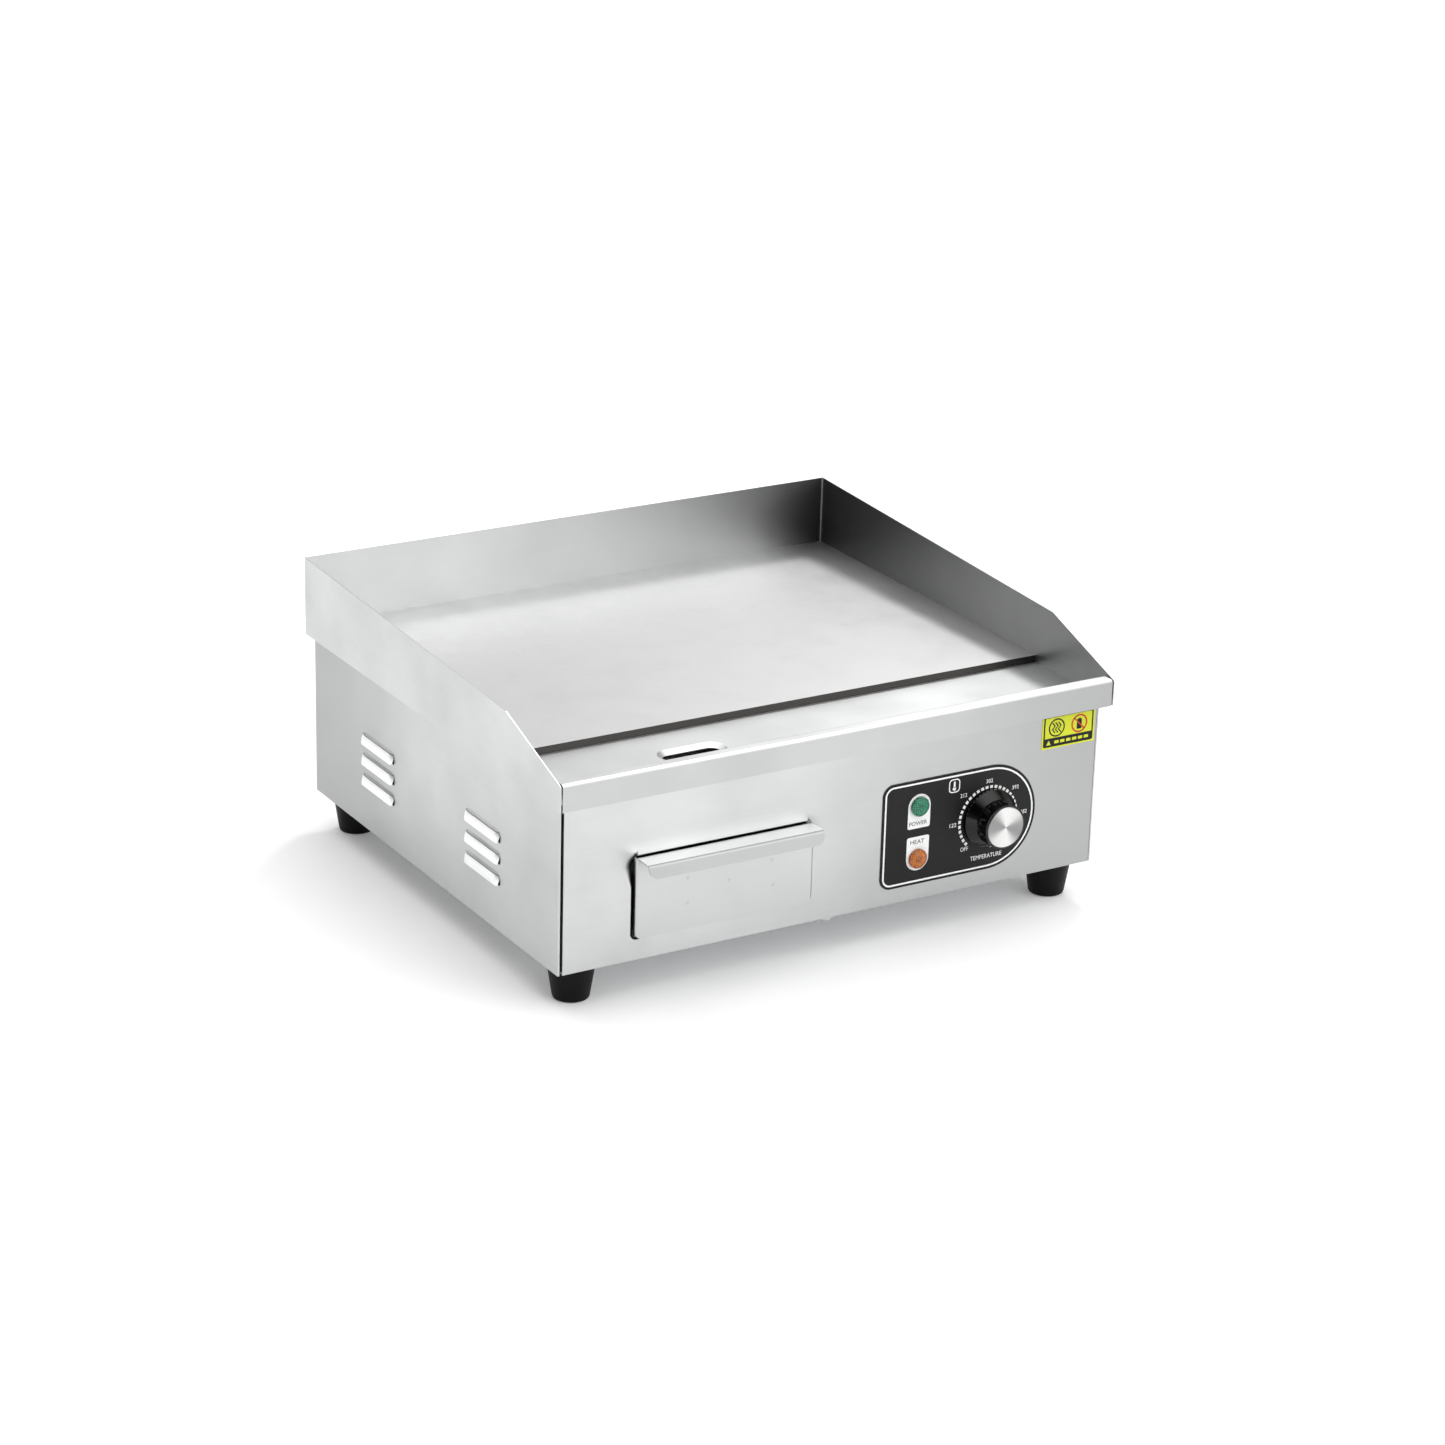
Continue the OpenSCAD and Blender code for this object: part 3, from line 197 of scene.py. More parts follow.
def ground_plate():
    """6 mm steel cooking plate, ground and stoned flat. It gives the eye an even, pale grey with faint
    mottling and blurred reflections of the guards beside it."""
    made, tree, shader, place = finish("ground_steel_plate", 1.0, 0.3)
    mottle = cloud(tree, place, 28, 6.0)
    specks = cloud(tree, place, 2.5)
    share = add(tree, "ShaderNodeMath", {0: specks, 1: 0.3, 2: mottle}, operation="MULTIPLY_ADD").outputs[0]
    dull = add(tree, "ShaderNodeMapRange", {"Value": share, "To Min": 0.40, "To Max": 0.46})
    ground = add(tree, "ShaderNodeMix", {SHARE: share, FIRST: "CECECE", SECOND: "C6C6C6"}, data_type="RGBA")
    # the sawn edges keep their dark mill scale
    facing_up = add(tree, "ShaderNodeSeparateXYZ", {
        0: add(tree, "ShaderNodeTexCoord").outputs["Normal"]}).outputs["Z"]
    top = add(tree, "ShaderNodeMath", {0: facing_up, 1: 0.5}, operation="GREATER_THAN").outputs[0]
    surface(tree, shader, top, "4C4A48", ground.outputs[MIXED], specks, 0.006, 0.4,
            Roughness=dull.outputs["Result"])
    return made


def galvanised():
    """Hot-dip galvanised steel sheet. It gives the eye a matt blue-grey patchwork of zinc crystals."""
    made, tree, shader, place = finish("galvanised_sheet", 1.0, 0.45)
    crystals = add(tree, "ShaderNodeTexVoronoi", {"Vector": place, "Scale": 1 / (9 * MM)}).outputs["Color"]
    tone = add(tree, "ShaderNodeSeparateColor", {0: crystals}).outputs[0]
    surface(tree, shader, tone, "A9AEB2", "C2C5C6", cloud(tree, place, 1.5), 0.01, 0.5, (0.38, 0.55))
    return made


def plated(name, pale, deep, rough, size_mm=6.0):
    """Turned or stamped metal, electroplated or left bright. It gives the eye small soft clouds of tone and
    a fine tool grain."""
    made, tree, shader, place = finish(name, 1.0, rough)
    surface(tree, shader, cloud(tree, place, size_mm), pale, deep, cloud(tree, place, 0.5), 0.004, 0.4,
            (rough - 0.05, rough + 0.08))
    return made


RING_PITCH = 0.35       # mm between the turned rings, a little coarser than the real tool feed
PAINTED_FAN_TURN = -150.0       # degrees, which turns the pair of painted fans to lie along the bright line


def spun_cap():
    """Spun and diamond-turned aluminium. Fine rings round the centre pull each reflection out into a pair of
    bright fans that meet in the middle, and a matching pair of fans is painted into its colour as a painted
    reflection."""
    made, tree, shader, place = finish("spun_aluminium", 1.0, 0.3, Anisotropic=0.85)
    low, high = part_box("knob_cap")
    centred = add(tree, "ShaderNodeMapping", {"Vector": place, "Location": -(low + high) / 2})
    flat = add(tree, "ShaderNodeVectorMath", {0: centred.outputs["Vector"], 1: (1.0, 0.0, 1.0)},
               operation="MULTIPLY").outputs[0]
    radius = add(tree, "ShaderNodeVectorMath", {0: flat}, operation="LENGTH").outputs["Value"]
    # the rings have an uneven depth
    turns = add(tree, "ShaderNodeMath", {0: radius, 1: 2 * math.pi / (RING_PITCH * MM)}, operation="MULTIPLY")
    ring = add(tree, "ShaderNodeMath", {0: turns.outputs[0]}, operation="SINE").outputs[0]
    uneven = add(tree, "ShaderNodeTexNoise", {"Vector": add(
        tree, "ShaderNodeCombineXYZ", {"X": radius}).outputs[0], "Scale": 1 / (0.8 * MM)}).outputs["Fac"]
    depth = add(tree, "ShaderNodeMath", {0: ring, 1: uneven}, operation="MULTIPLY").outputs[0]
    tangent = add(tree, "ShaderNodeTangent", direction_type="RADIAL", axis="Y").outputs["Tangent"]
    # painted reflection: fans painted into the colour, bright along one line through the centre and greyer
    # across it
    sides = add(tree, "ShaderNodeSeparateXYZ", {0: flat}).outputs
    turned = add(tree, "ShaderNodeMath", {0: sides["Z"], 1: sides["X"]}, operation="ARCTAN2").outputs[0]
    doubled = add(tree, "ShaderNodeMath", {0: turned, 1: 2.0, 2: math.radians(PAINTED_FAN_TURN)},
                  operation="MULTIPLY_ADD").outputs[0]
    wave = add(tree, "ShaderNodeMath", {0: doubled}, operation="COSINE").outputs[0]
    painted_fan = add(tree, "ShaderNodeMapRange", {"Value": wave, "From Min": -1.0, "From Max": 0.8},
              interpolation_type="SMOOTHSTEP").outputs["Result"]
    surface(tree, shader, painted_fan, "8C8C8C", "DADAD9", depth, 0.002, 0.5, Tangent=tangent)
    return made


# ---------- plastics, rubber and the rest ----------
def moulded(name, colour, deep, rough, grain_mm, depth_mm, ior=1.5, coat=0.0):
    """Injection-moulded or extruded plastic or rubber. It gives the eye one colour with slight tone clouds
    and a fine mould grain."""
    made, tree, shader, place = finish(name, 0.0, rough, IOR=ior, Coat_Weight=coat)
    surface(tree, shader, cloud(tree, place, 12), colour, deep, cloud(tree, place, grain_mm), depth_mm, 0.5,
            (rough * 0.9, rough * 1.15))
    return made


def lamp_lens(name, colour, deep):
    """Clear coloured polycarbonate with small prisms moulded inside: a saturated jewel colour broken into
    a fine net of light and dark cells under a smooth outer skin."""
    made, tree, shader, place = finish(name, 0.0, 0.25, IOR=1.45, Coat_Weight=0.25, Coat_Roughness=0.04)
    cells = add(tree, "ShaderNodeTexVoronoi", {"Vector": place, "Scale": 1 / (1.5 * MM), "Randomness": 0.3},
                voronoi_dimensions="3D").outputs["Distance"]
    share = add(tree, "ShaderNodeMapRange", {"Value": cells, "From Min": 0.1, "From Max": 0.6})
    surface(tree, shader, share.outputs["Result"], colour, deep, cells, 0.25, 0.7)
    return made


def film(name, colour, deep, rough):
    """Polyester label film with a hard satin varnish: flat, even colour with a faint orange-peel skin."""
    made, tree, shader, place = finish(name, 0.0, rough, IOR=1.33, Coat_Weight=0.04, Coat_Roughness=0.3)
    surface(tree, shader, cloud(tree, place, 18), colour, deep, cloud(tree, place, 1.2), 0.004, 0.4)
    return made


def ink(name, colour, deep):
    """Screen-printed ink: an opaque colour whose thickness varies slightly, so that neither its edge nor its
    tone is dead even."""
    made, tree, shader, place = finish(name, 0.0, 0.45, IOR=1.33)
    tone = cloud(tree, place, 1.6, 4.0)
    surface(tree, shader, tone, colour, deep, tone, 0.004, 0.5)
    return made


def fibre_blanket():
    """Needled ceramic-fibre wool. It gives the eye an off-white felt of tangled fibres."""
    made, tree, shader, place = finish("ceramic_fibre", 0.0, 0.95, Sheen_Weight=0.3)
    tangle = add(tree, "ShaderNodeTexNoise",
                 {"Vector": place, "Scale": 1 / (3 * MM), "Detail": 8.0, "Distortion": 2.5}).outputs["Fac"]
    surface(tree, shader, tangle, "D9D4C6", "F4F1E9", tangle, 0.6, 0.8)
    return made


def specked_ceramic():
    """Unglazed steatite, pressed and fired. It gives the eye a chalky cream with a few grey specks."""
    made, tree, shader, place = finish("steatite", 0.0, 0.7, IOR=1.58)
    specks = add(tree, "ShaderNodeTexVoronoi", {"Vector": place, "Scale": 1 / (2.2 * MM)}).outputs["Distance"]
    share = add(tree, "ShaderNodeMapRange", {"Value": specks, "From Min": 0.08, "From Max": 0.16})
    surface(tree, shader, share.outputs["Result"], "A8A296", "E4DDCB", cloud(tree, place, 0.8), 0.03, 0.5)
    return made


drawer_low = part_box("drawer_front")[0]
drawer_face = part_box("front_panel")[0].y - 2.8 * MM     # it stands proud of the front panel
FEET = 28.0 * MM        # height of the body's bottom


def on_drawer(x, z):
    """A point on the drawer front's face, in mm from its left edge and above the body's bottom."""
    return (drawer_low.x + x * MM, drawer_face, z * MM + FEET)


WELDS = [on_drawer(40.4, 54.5), on_drawer(73.3, 46.6), on_drawer(107.7, 54.9), on_drawer(109.2, 35.8),
         on_drawer(40.9, 35.8)]

SHEET_X = satin_stainless("satin_stainless_sheet", "X", "CFD0D0", "C0C1C1")
# painted shade: the front panel is painted darker towards the right
SHEET_FRONT = satin_stainless("satin_stainless_front", "X", "D0D1D1", "BFC0C0",
                              painted_tones=[("across", -0.12, 0.25, "A4A5A5")])
# painted light and shade: the deck is painted darker towards the right as shade, and its upward-facing top
# paler than its apron as painted light
SHEET_DECK = satin_stainless("satin_stainless_deck", "X", "C0C1C1", "B5B6B6",
                             painted_tones=[("across", 0.0, 0.25, "A6A7A7"), ("facing_up", 0.3, 0.9, "DADBDB")])
# painted shade: the rear and right guards are painted darker towards their shared corner
SHEET_REAR = satin_stainless("satin_stainless_rear_guard", "X", "DBDCDC", "D0D1D1",
                             painted_tones=[("across", -0.15, 0.12, "BCBDBD"), ("across", 0.155, 0.225, "747575")])
# painted shade: the right guard is painted darker towards the rear
SHEET_RIGHT = satin_stainless("satin_stainless_right_guard", "Y", "CECFCF", "BEBFBF",
                              painted_tones=[("back", -0.12, 0.17, "767777")])
side_face = -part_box("left_side_panel")[0].x - 2.7 * MM      # the louvres stand proud of it
# painted shade and highlight: the louvred sides are painted darker towards the rear, and the louvres' proud
# faces paler as a painted highlight
SHEET_SIDE = satin_stainless("satin_stainless_louvred", "Y", "CECFCF", "BEBFBF",
                             painted_tones=[("back", -0.05, 0.19, "A8A9A9"),
                                    ("outward", side_face + 0.2 * MM, side_face + 1.2 * MM, "F4F5F5")])
SHEET_Y = satin_stainless("satin_stainless_side", "Y", "CECFCF", "BEBFBF")
# painted highlight on the top of the handle, and painted shade on its turned-down face
SHEET_DRAWER = satin_stainless("satin_stainless_drawer", "X", "C8C9C9", "BFC0C0", dimples=WELDS,
                               painted_tones=[("facing_up", 0.4, 0.9, "F4F5F5"),
                                      ("back", drawer_low.y + 4.6 * MM, drawer_low.y + 3.0 * MM, "A8A9A9")])
WHITE_INK = ink("white_screen_ink", "FCFCFB", "F0F0EF")
BLACK_INK = ink("black_screen_ink", "080808", "101010")
RED_INK = ink("red_screen_ink", "D1452B", "BF3820")
GREY_INK = ink("grey_screen_ink", "55585A", "4A4C4E")
WINDOW_INK = ink("window_screen_ink", "F6F6F6", "EBECEC")

FINISHES = {
    "stainless": SHEET_X,
    "plate_steel": ground_plate(),
    "galvanised": galvanised(),
    "zinc_plated": plated("zinc_plated_steel", "C9CED1", "B7BBBA", 0.3),
    # nickel-alloy tube, dark and blotchy from its oxide
    "element_sheath": plated("oxidised_element_sheath", "4A443E", "2E2A28", 0.55, 14.0),
    "fibre_blanket": fibre_blanket(),
    "black_film": film("black_label_film", "060606", "0B0B0B", 0.5),
    "green_lens": lamp_lens("green_polycarbonate", "12A87C", "024B35"),
    "amber_lens": lamp_lens("amber_polycarbonate", "E58A14", "8A3F02"),
    "ivory_plastic": moulded("ivory_nylon", "E9E2CE", "DDD5BE", 0.45, 0.8, 0.01),
    "thermostat_ceramic": specked_ceramic(),
    "copper": plated("drawn_copper", "C98D6B", "B4714E", 0.28),
    # phenolic moulding, buffed: deep black with sharp highlights
    "black_gloss": moulded("black_phenolic", "050505", "0A0A0A", 0.15, 2.5, 0.004, 1.4, 0.1),
    "spun_aluminium": spun_cap(),
    "terminal_brass": plated("turned_brass", "D9BC72", "C4A355", 0.25),
    # silicone-rubber lead insulation in the wiring colours
    "brown_insulation": moulded("brown_silicone", "5A3017", "4A2611", 0.5, 0.6, 0.01, 1.43),
    "blue_insulation": moulded("blue_silicone", "2C58B5", "244B9C", 0.5, 0.6, 0.01, 1.43),
    "white_insulation": moulded("white_silicone", "E6E6E2", "D8D8D3", 0.5, 0.6, 0.01, 1.43),
    "red_insulation": moulded("red_silicone", "B3231C", "981B15", 0.5, 0.6, 0.01, 1.43),
    "gland_plastic": moulded("black_nylon", "1B1B1C", "262627", 0.48, 0.7, 0.02, 1.53),
    "gland_rubber": moulded("neoprene_seal", "2A2A2A", "343434", 0.7, 0.5, 0.03, 1.52),
    "rating_foil": plated("brushed_foil_label", "D5D6D6", "C6C7C7", 0.38, 9.0),
    "yellow_film": film("yellow_label_film", "DCE330", "D2D92B", 0.4),
    # moulded rubber with a dull bloom
    "foot_rubber": moulded("black_foot_rubber", "040404", "080808", 0.5, 0.6, 0.03, 1.25),
}
OWN_FINISH = {
    "front_panel": SHEET_FRONT,
    "grease_deck": SHEET_DECK,
    "left_side_panel": SHEET_SIDE,
    "right_side_panel": SHEET_SIDE,
    "left_splash_guard": SHEET_Y,
    "right_splash_guard": SHEET_RIGHT,
    "rear_splash_guard": SHEET_REAR,
    "drawer_front": SHEET_DRAWER,
}
for part in frame["record"]["subparts"]:
    node = frame["nodes"][part["node"]]
    chosen = OWN_FINISH.get(part["node"], FINISHES[part["material_slot"]])
    if not node.material_slots:
        node.data.materials.append(chosen)
    for slot in node.material_slots:
        slot.material = chosen


# ---------- flat printed shapes, drawn in mm ----------
def thin(curve):
    """A flat curve or words as a thin closed mesh in mm, and the curve is put away."""
    holder = bpy.data.objects.new("flat_shape", curve)
    bpy.context.scene.collection.objects.link(holder)
    bpy.context.view_layer.update()
    mesh = bpy.data.meshes.new_from_object(holder.evaluated_get(bpy.context.evaluated_depsgraph_get()))
    bpy.data.objects.remove(holder)
    bpy.data.curves.remove(curve)
    return mesh


def shape(*loops):
    """The area inside closed loops of (x, z) points, with the inner loops as holes."""
    curve = bpy.data.curves.new("flat_shape", "CURVE")
    curve.dimensions = "2D"
    curve.fill_mode = "BOTH"
    curve.extrude = INK / 2
    for loop in loops:
        spline = curve.splines.new("POLY")
        spline.points.add(len(loop) - 1)
        for point, (x, z) in zip(spline.points, loop):
            point.co = (x, z, 0.0, 1.0)
        spline.use_cyclic_u = True
    return thin(curve)


def words(text, x, z, width, height):
    """Words centred on (x, z), stretched to that width and height."""
    curve = bpy.data.curves.new("words", "FONT")
    curve.body = text
    curve.size = height
    curve.extrude = INK / 2
    curve.resolution_u = 4
    mesh = thin(curve)
    points = [v.co for v in mesh.vertices]
    low = Vector(map(min, *points))
    high = Vector(map(max, *points))
    stretch = Matrix.Diagonal((width / (high.x - low.x), height / (high.y - low.y), 1.0, 1.0))
    mesh.transform(Matrix.Translation((x, z, 0.0)) @ stretch @ Matrix.Translation(
        (-(low.x + high.x) / 2, -(low.y + high.y) / 2, 0.0)))
    return mesh


def arc(x, z, r, start, end, steps):
    """Points along part of a circle, from one angle to another."""
    turns = [math.radians(start + (end - start) * i / steps) for i in range(steps + 1)]
    return [(x + r * math.cos(t), z + r * math.sin(t)) for t in turns]


def circle(x, z, r, steps=48):
    return arc(x, z, r, 0, 360 * (steps - 1) / steps, steps - 1)


def panel(x0, z0, x1, z1, corners):
    """A box with four corner radii: bottom left, bottom right, top right and top left."""
    middles = ((x0, z0, 1, 1), (x1, z0, -1, 1), (x1, z1, -1, -1), (x0, z1, 1, -1))
    loop = []
    for i, ((x, z, sx, sz), r) in enumerate(zip(middles, corners)):
        loop += arc(x + sx * r, z + sz * r, r, 180 + 90 * i, 270 + 90 * i, 12)
    return loop


def around(x, z, half_wide, half_high, corner):
    """A box about a middle, with four equal corners."""
    return panel(x - half_wide, z - half_high, x + half_wide, z + half_high, (corner,) * 4)


def bar(x, z, angle, start, end, width):
    """A bar that runs out from (x, z) at an angle, between two distances."""
    way = math.radians(angle)
    out, across = Vector((math.cos(way), math.sin(way))), Vector((-math.sin(way), math.cos(way)))
    return [tuple(Vector((x, z)) + out * d + across * s * width / 2)
            for d, s in ((start, -1), (end, -1), (end, 1), (start, 1))]


def upright_piece(name, meshes, face_y, material, body="chassis", turn=0.0):
    """Printed shapes joined into one piece, stood upright with its back on the plane y = face_y."""
    bm = bmesh.new()
    for mesh in meshes:
        bm.from_mesh(mesh)
        bpy.data.meshes.remove(mesh)
    bmesh.ops.remove_doubles(bm, verts=bm.verts, dist=0.001)
    bmesh.ops.dissolve_degenerate(bm, edges=bm.edges, dist=0.0005)
    facing = Matrix.Rotation(math.radians(turn), 3, "Z")
    bmesh.ops.rotate(bm, verts=bm.verts, matrix=Matrix.Rotation(math.radians(90.0), 3, "X"))
    bmesh.ops.rotate(bm, verts=bm.verts, matrix=facing)
    out = facing @ Vector((0.0, -1.0, 0.0))
    bmesh.ops.scale(bm, verts=bm.verts, vec=(MM, MM, MM))
    bmesh.ops.translate(bm, verts=bm.verts, vec=Vector((0.0, face_y, 0.0)) + out * (INK / 2 * MM))
    return finished(name, bm, material, body)


def finished(name, bm, material, body="chassis", smooth=None):
    """A mesh made into a piece that rides on a body and wears a finish, smooth below that angle if given."""
    bmesh.ops.recalc_face_normals(bm, faces=bm.faces)
    mesh = bpy.data.meshes.new(name)
    bm.to_mesh(mesh)
    bm.free()
    mesh.materials.append(material)
    if smooth is not None:
        mesh.shade_smooth()
        mesh.set_sharp_from_angle(angle=math.radians(smooth))
    piece = bpy.data.objects.new(name, mesh)
    bpy.context.scene.collection.objects.link(piece)
    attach(piece, body)
    return piece


# ---------- control label ----------
label_low, label_high = (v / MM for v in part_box("control_label"))
knob_low, knob_high = (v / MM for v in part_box("knob"))
dial_x, dial_z = (knob_low.x + knob_high.x) / 2, (knob_low.z + knob_high.z) / 2
label_face = label_low.y * MM
LABEL_CORNER = 9.0
LABEL_END = (label_high.z - label_low.z) / 2
LINE_OUTSIDE = 1.9      # black border outside the white line
LINE_INSIDE = 3.2
ROUND = 0.01            # what a round end falls short of a full half circle, so that no edge has no length


def label_inset(d):
    """The label's outline, moved inwards."""
    near, far = LABEL_CORNER - d, LABEL_END - d - ROUND
    return panel(label_low.x + d, label_low.z + d, label_high.x - d, label_high.z - d, (near, far, far, near))


upright_piece("label_border", [shape(label_inset(LINE_OUTSIDE), label_inset(LINE_INSIDE))],
              label_face, WHITE_INK)

# ticks go clockwise from the off mark at the lower left, and the print sits a little off the knob's middle
DIAL_START, DIAL_STEP, TICKS = 222.0, 9.1, 31
TICK_FROM, TICK_TO, TICK_WIDE = 23.2, 25.4, 2.4
print_x, print_z = dial_x - 1.0, dial_z - 0.6
upright_piece(
    "dial_ticks",
    [shape(bar(print_x, print_z, DIAL_START - DIAL_STEP * i, TICK_FROM, TICK_TO, TICK_WIDE))
     for i in range(TICKS)],
    label_face, WHITE_INK)

# each number, its angle and how far out its middle is
NUMBER_WIDE, NUMBER_HIGH = 5.8, 3.0
NUMBERS = [("122", 179.7, 29.9), ("212", 135.1, 30.8), ("302", 90.0, 29.0), ("392", 41.4, 30.5),
           ("482", -0.4, 31.1), ("572", -50.0, 31.0)]
dial_words = [
    words(text, print_x + out * math.cos(math.radians(angle)), print_z + out * math.sin(math.radians(angle)),
          NUMBER_WIDE, NUMBER_HIGH)
    for text, angle, out in NUMBERS]
dial_words.append(words("OFF", dial_x - 20.2, dial_z - 20.8, 6.6, 3.1))
dial_words.append(words("TEMPERATURE", dial_x - 1.0, dial_z - 29.6, 27.0, 3.3))
upright_piece("dial_numbers", dial_words, label_face, WHITE_INK)

# a plain thermometer in a rounded frame
mark_x, mark_z = dial_x - 31.2, dial_z + 30.0
upright_piece(
    "thermometer_mark",
    [shape(around(mark_x, mark_z, 4.7, 5.2, 3.0), around(mark_x, mark_z, 3.9, 4.4, 2.3)),
     shape(panel(mark_x - 0.75, mark_z - 1.6, mark_x + 0.75, mark_z + 3.4, (0.2, 0.2, 0.74, 0.74))),
     shape(circle(mark_x, mark_z - 2.2, 1.45, 24))],
    label_face, WHITE_INK)

# white window round each lamp, with one round end and one that holds its word
WINDOW_HALF = 9.4
ROUND_END, WORD_END = 9.2, 16.8         # from the lamp's middle
SMALL_CORNER = 1.6
LENS_RIM = 1.0          # how far the print runs in under the lens
WORD_DROP, WORD_HIGH = 12.9, 3.1
window_meshes = []
lamp_words = []
for lamp, text, word_wide, side in (("power_lens", "POWER", 15.0, 1), ("heat_lens", "HEAT", 11.8, -1)):
    low, high = (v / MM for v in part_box(lamp))
    x, z = (low.x + high.x) / 2, (low.z + high.z) / 2
    bottom, top = sorted((z + side * ROUND_END, z - side * WORD_END))
    corners = (SMALL_CORNER, SMALL_CORNER, WINDOW_HALF - ROUND, WINDOW_HALF - ROUND)
    if side < 0:
        corners = corners[2:] + corners[:2]
    window_meshes.append(shape(
        panel(x - WINDOW_HALF, bottom, x + WINDOW_HALF, top, corners),
        circle(x, z, (high.x - low.x) / 2 - LENS_RIM)))
    lamp_words.append(words(text, x - 0.5, z - side * WORD_DROP, word_wide, WORD_HIGH))
upright_piece("lamp_windows", window_meshes, label_face, WINDOW_INK)
upright_piece("lamp_words", lamp_words, label_face - INK * MM, BLACK_INK)


# ---------- knob pointer ----------
# white paint in a line down the skirt's cone, straight down at the off stop
SKIRT_EDGE, SKIRT_RISE, GRIP_R = 2.2, 9.0, 17.0
LINE_WIDE, LINE_THICK, LINE_SHARE = 1.5, 0.1, 0.84      # the last is its share of the cone's slope


def knob_pointer():
    rim_r = (knob_high.x - knob_low.x) / 2
    start = Vector((0.0, knob_high.y - SKIRT_EDGE, -rim_r))
    end = Vector((0.0, knob_high.y - SKIRT_RISE, -GRIP_R))
    slope = (end - start).normalized()
    outward = Vector((0.0, -slope.z, slope.y))
    if outward.y > 0:
        outward = -outward
    bm = bmesh.new()
    bmesh.ops.create_cube(bm, size=1.0)
    bmesh.ops.scale(bm, verts=bm.verts, vec=(LINE_WIDE, (end - start).length * LINE_SHARE, LINE_THICK))
    bmesh.ops.bevel(bm, geom=list(bm.edges), offset=0.03, segments=2, profile=0.5, affect="EDGES",
                    material=-1)
    frame_of = Matrix((Vector((1.0, 0.0, 0.0)), slope, outward)).transposed()
    bmesh.ops.rotate(bm, verts=bm.verts, matrix=frame_of)
    middle = (start + end) / 2 + outward * 0.04     # most of its thickness stands off the skirt
    bmesh.ops.translate(bm, verts=bm.verts, vec=Vector((dial_x, middle.y, dial_z + middle.z)))
    bmesh.ops.scale(bm, verts=bm.verts, vec=(MM, MM, MM))
    return finished("knob_pointer", bm, WHITE_INK, "dial")


knob_pointer()


# ---------- hot-surface label ----------
note_low, note_high = (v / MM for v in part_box("hot_surface_label"))
note_face = note_low.y * MM
NOTE_EDGE, NOTE_LINE = 1.3, 2.5         # outer and inner edge of the black frame
BAND_TOP = 8.0                          # the frame is deeper along the bottom, as a band for the dashes
note_frame = [shape(
    panel(note_low.x + NOTE_EDGE, note_low.z + NOTE_EDGE, note_high.x - NOTE_EDGE, note_high.z - NOTE_EDGE,
          (1.6,) * 4),
    panel(note_low.x + NOTE_LINE, note_low.z + BAND_TOP, note_high.x - NOTE_LINE, note_high.z - NOTE_LINE,
          (0.1, 0.1, 1.0, 1.0)))]
SIGN_R, SIGN_LINE = 7.0, 1.1
WAVE_HALF = 0.58
wave_x, bar_x, sign_z = note_low.x + 12.6, note_low.x + 32.4, note_low.z + 15.6
note_frame.append(shape(circle(wave_x, sign_z, SIGN_R), circle(wave_x, sign_z, SIGN_R - SIGN_LINE)))
for offset in (-2.6, 0.0, 2.6):
    # one rising line of warm air
    run = [-4.0 + 0.5 * i for i in range(17)]
    sway = [(wave_x + offset + 0.9 * math.sin(t * 1.25), sign_z + t) for t in run]
    note_frame.append(shape([(x - WAVE_HALF, z) for x, z in sway]
                            + [(x + WAVE_HALF, z) for x, z in reversed(sway)]))
# a plain upright shape, which the red ring strikes out
note_frame.append(shape(panel(bar_x - 2.1, sign_z - 4.2, bar_x + 2.1, sign_z + 3.9, (0.6, 0.6, 1.6, 1.6))))
upright_piece("hot_label_print", note_frame, note_face, BLACK_INK)
upright_piece(
    "hot_label_ring",
    [shape(circle(bar_x, sign_z, SIGN_R), circle(bar_x, sign_z, SIGN_R - 1.2)),
     shape(bar(bar_x, sign_z, 135.0, -SIGN_R + 0.5, SIGN_R - 0.5, 1.0))],
    note_face - INK * MM, RED_INK)
# a plain triangle and dashes stand where such a label has its words
band_z = note_low.z + NOTE_EDGE + (BAND_TOP - NOTE_EDGE) / 2
DASHES, DASH_PITCH, DASH_LONG, DASH_HALF = 6, 5.2, 3.8, 1.1
dashes = [shape([(note_low.x + 4.0, band_z - 1.7), (note_low.x + 8.0, band_z - 1.7),
                 (note_low.x + 6.0, band_z + 1.9)])]
for i in range(DASHES):
    left = note_low.x + 11.0 + DASH_PITCH * i
    dashes.append(shape(panel(left, band_z - DASH_HALF, left + DASH_LONG, band_z + DASH_HALF, (0.3,) * 4)))
upright_piece("hot_label_dashes", dashes, note_face - INK * MM, FINISHES["yellow_film"])


# ---------- rating plate ----------
# a blank form: a border and empty ruled cells
plate_low, plate_high = (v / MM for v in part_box("rating_plate"))
FORM_EDGE, FORM_LINE, FORM_ROWS, COLUMN = 1.5, 0.4, 5, 22.0
rule_end = FORM_EDGE + FORM_LINE / 2
inner = FORM_EDGE + FORM_LINE
# it is drawn as seen from behind, so left and right change places
form_left, form_right = -plate_high.x, -plate_low.x
ruled = [shape(panel(form_left + FORM_EDGE, plate_low.z + FORM_EDGE,
                     form_right - FORM_EDGE, plate_high.z - FORM_EDGE, (2.0,) * 4),
               panel(form_left + inner, plate_low.z + inner,
                     form_right - inner, plate_high.z - inner, (1.6,) * 4))]
for i in range(1, FORM_ROWS):
    z = plate_low.z + inner + (plate_high.z - plate_low.z - 2 * inner) * i / FORM_ROWS
    ruled.append(shape(panel(form_left + rule_end, z - 0.12, form_right - rule_end, z + 0.12, (0.05,) * 4)))
ruled.append(shape(panel(form_left + COLUMN, plate_low.z + rule_end,
                         form_left + COLUMN + 0.25, plate_high.z - rule_end, (0.05,) * 4)))
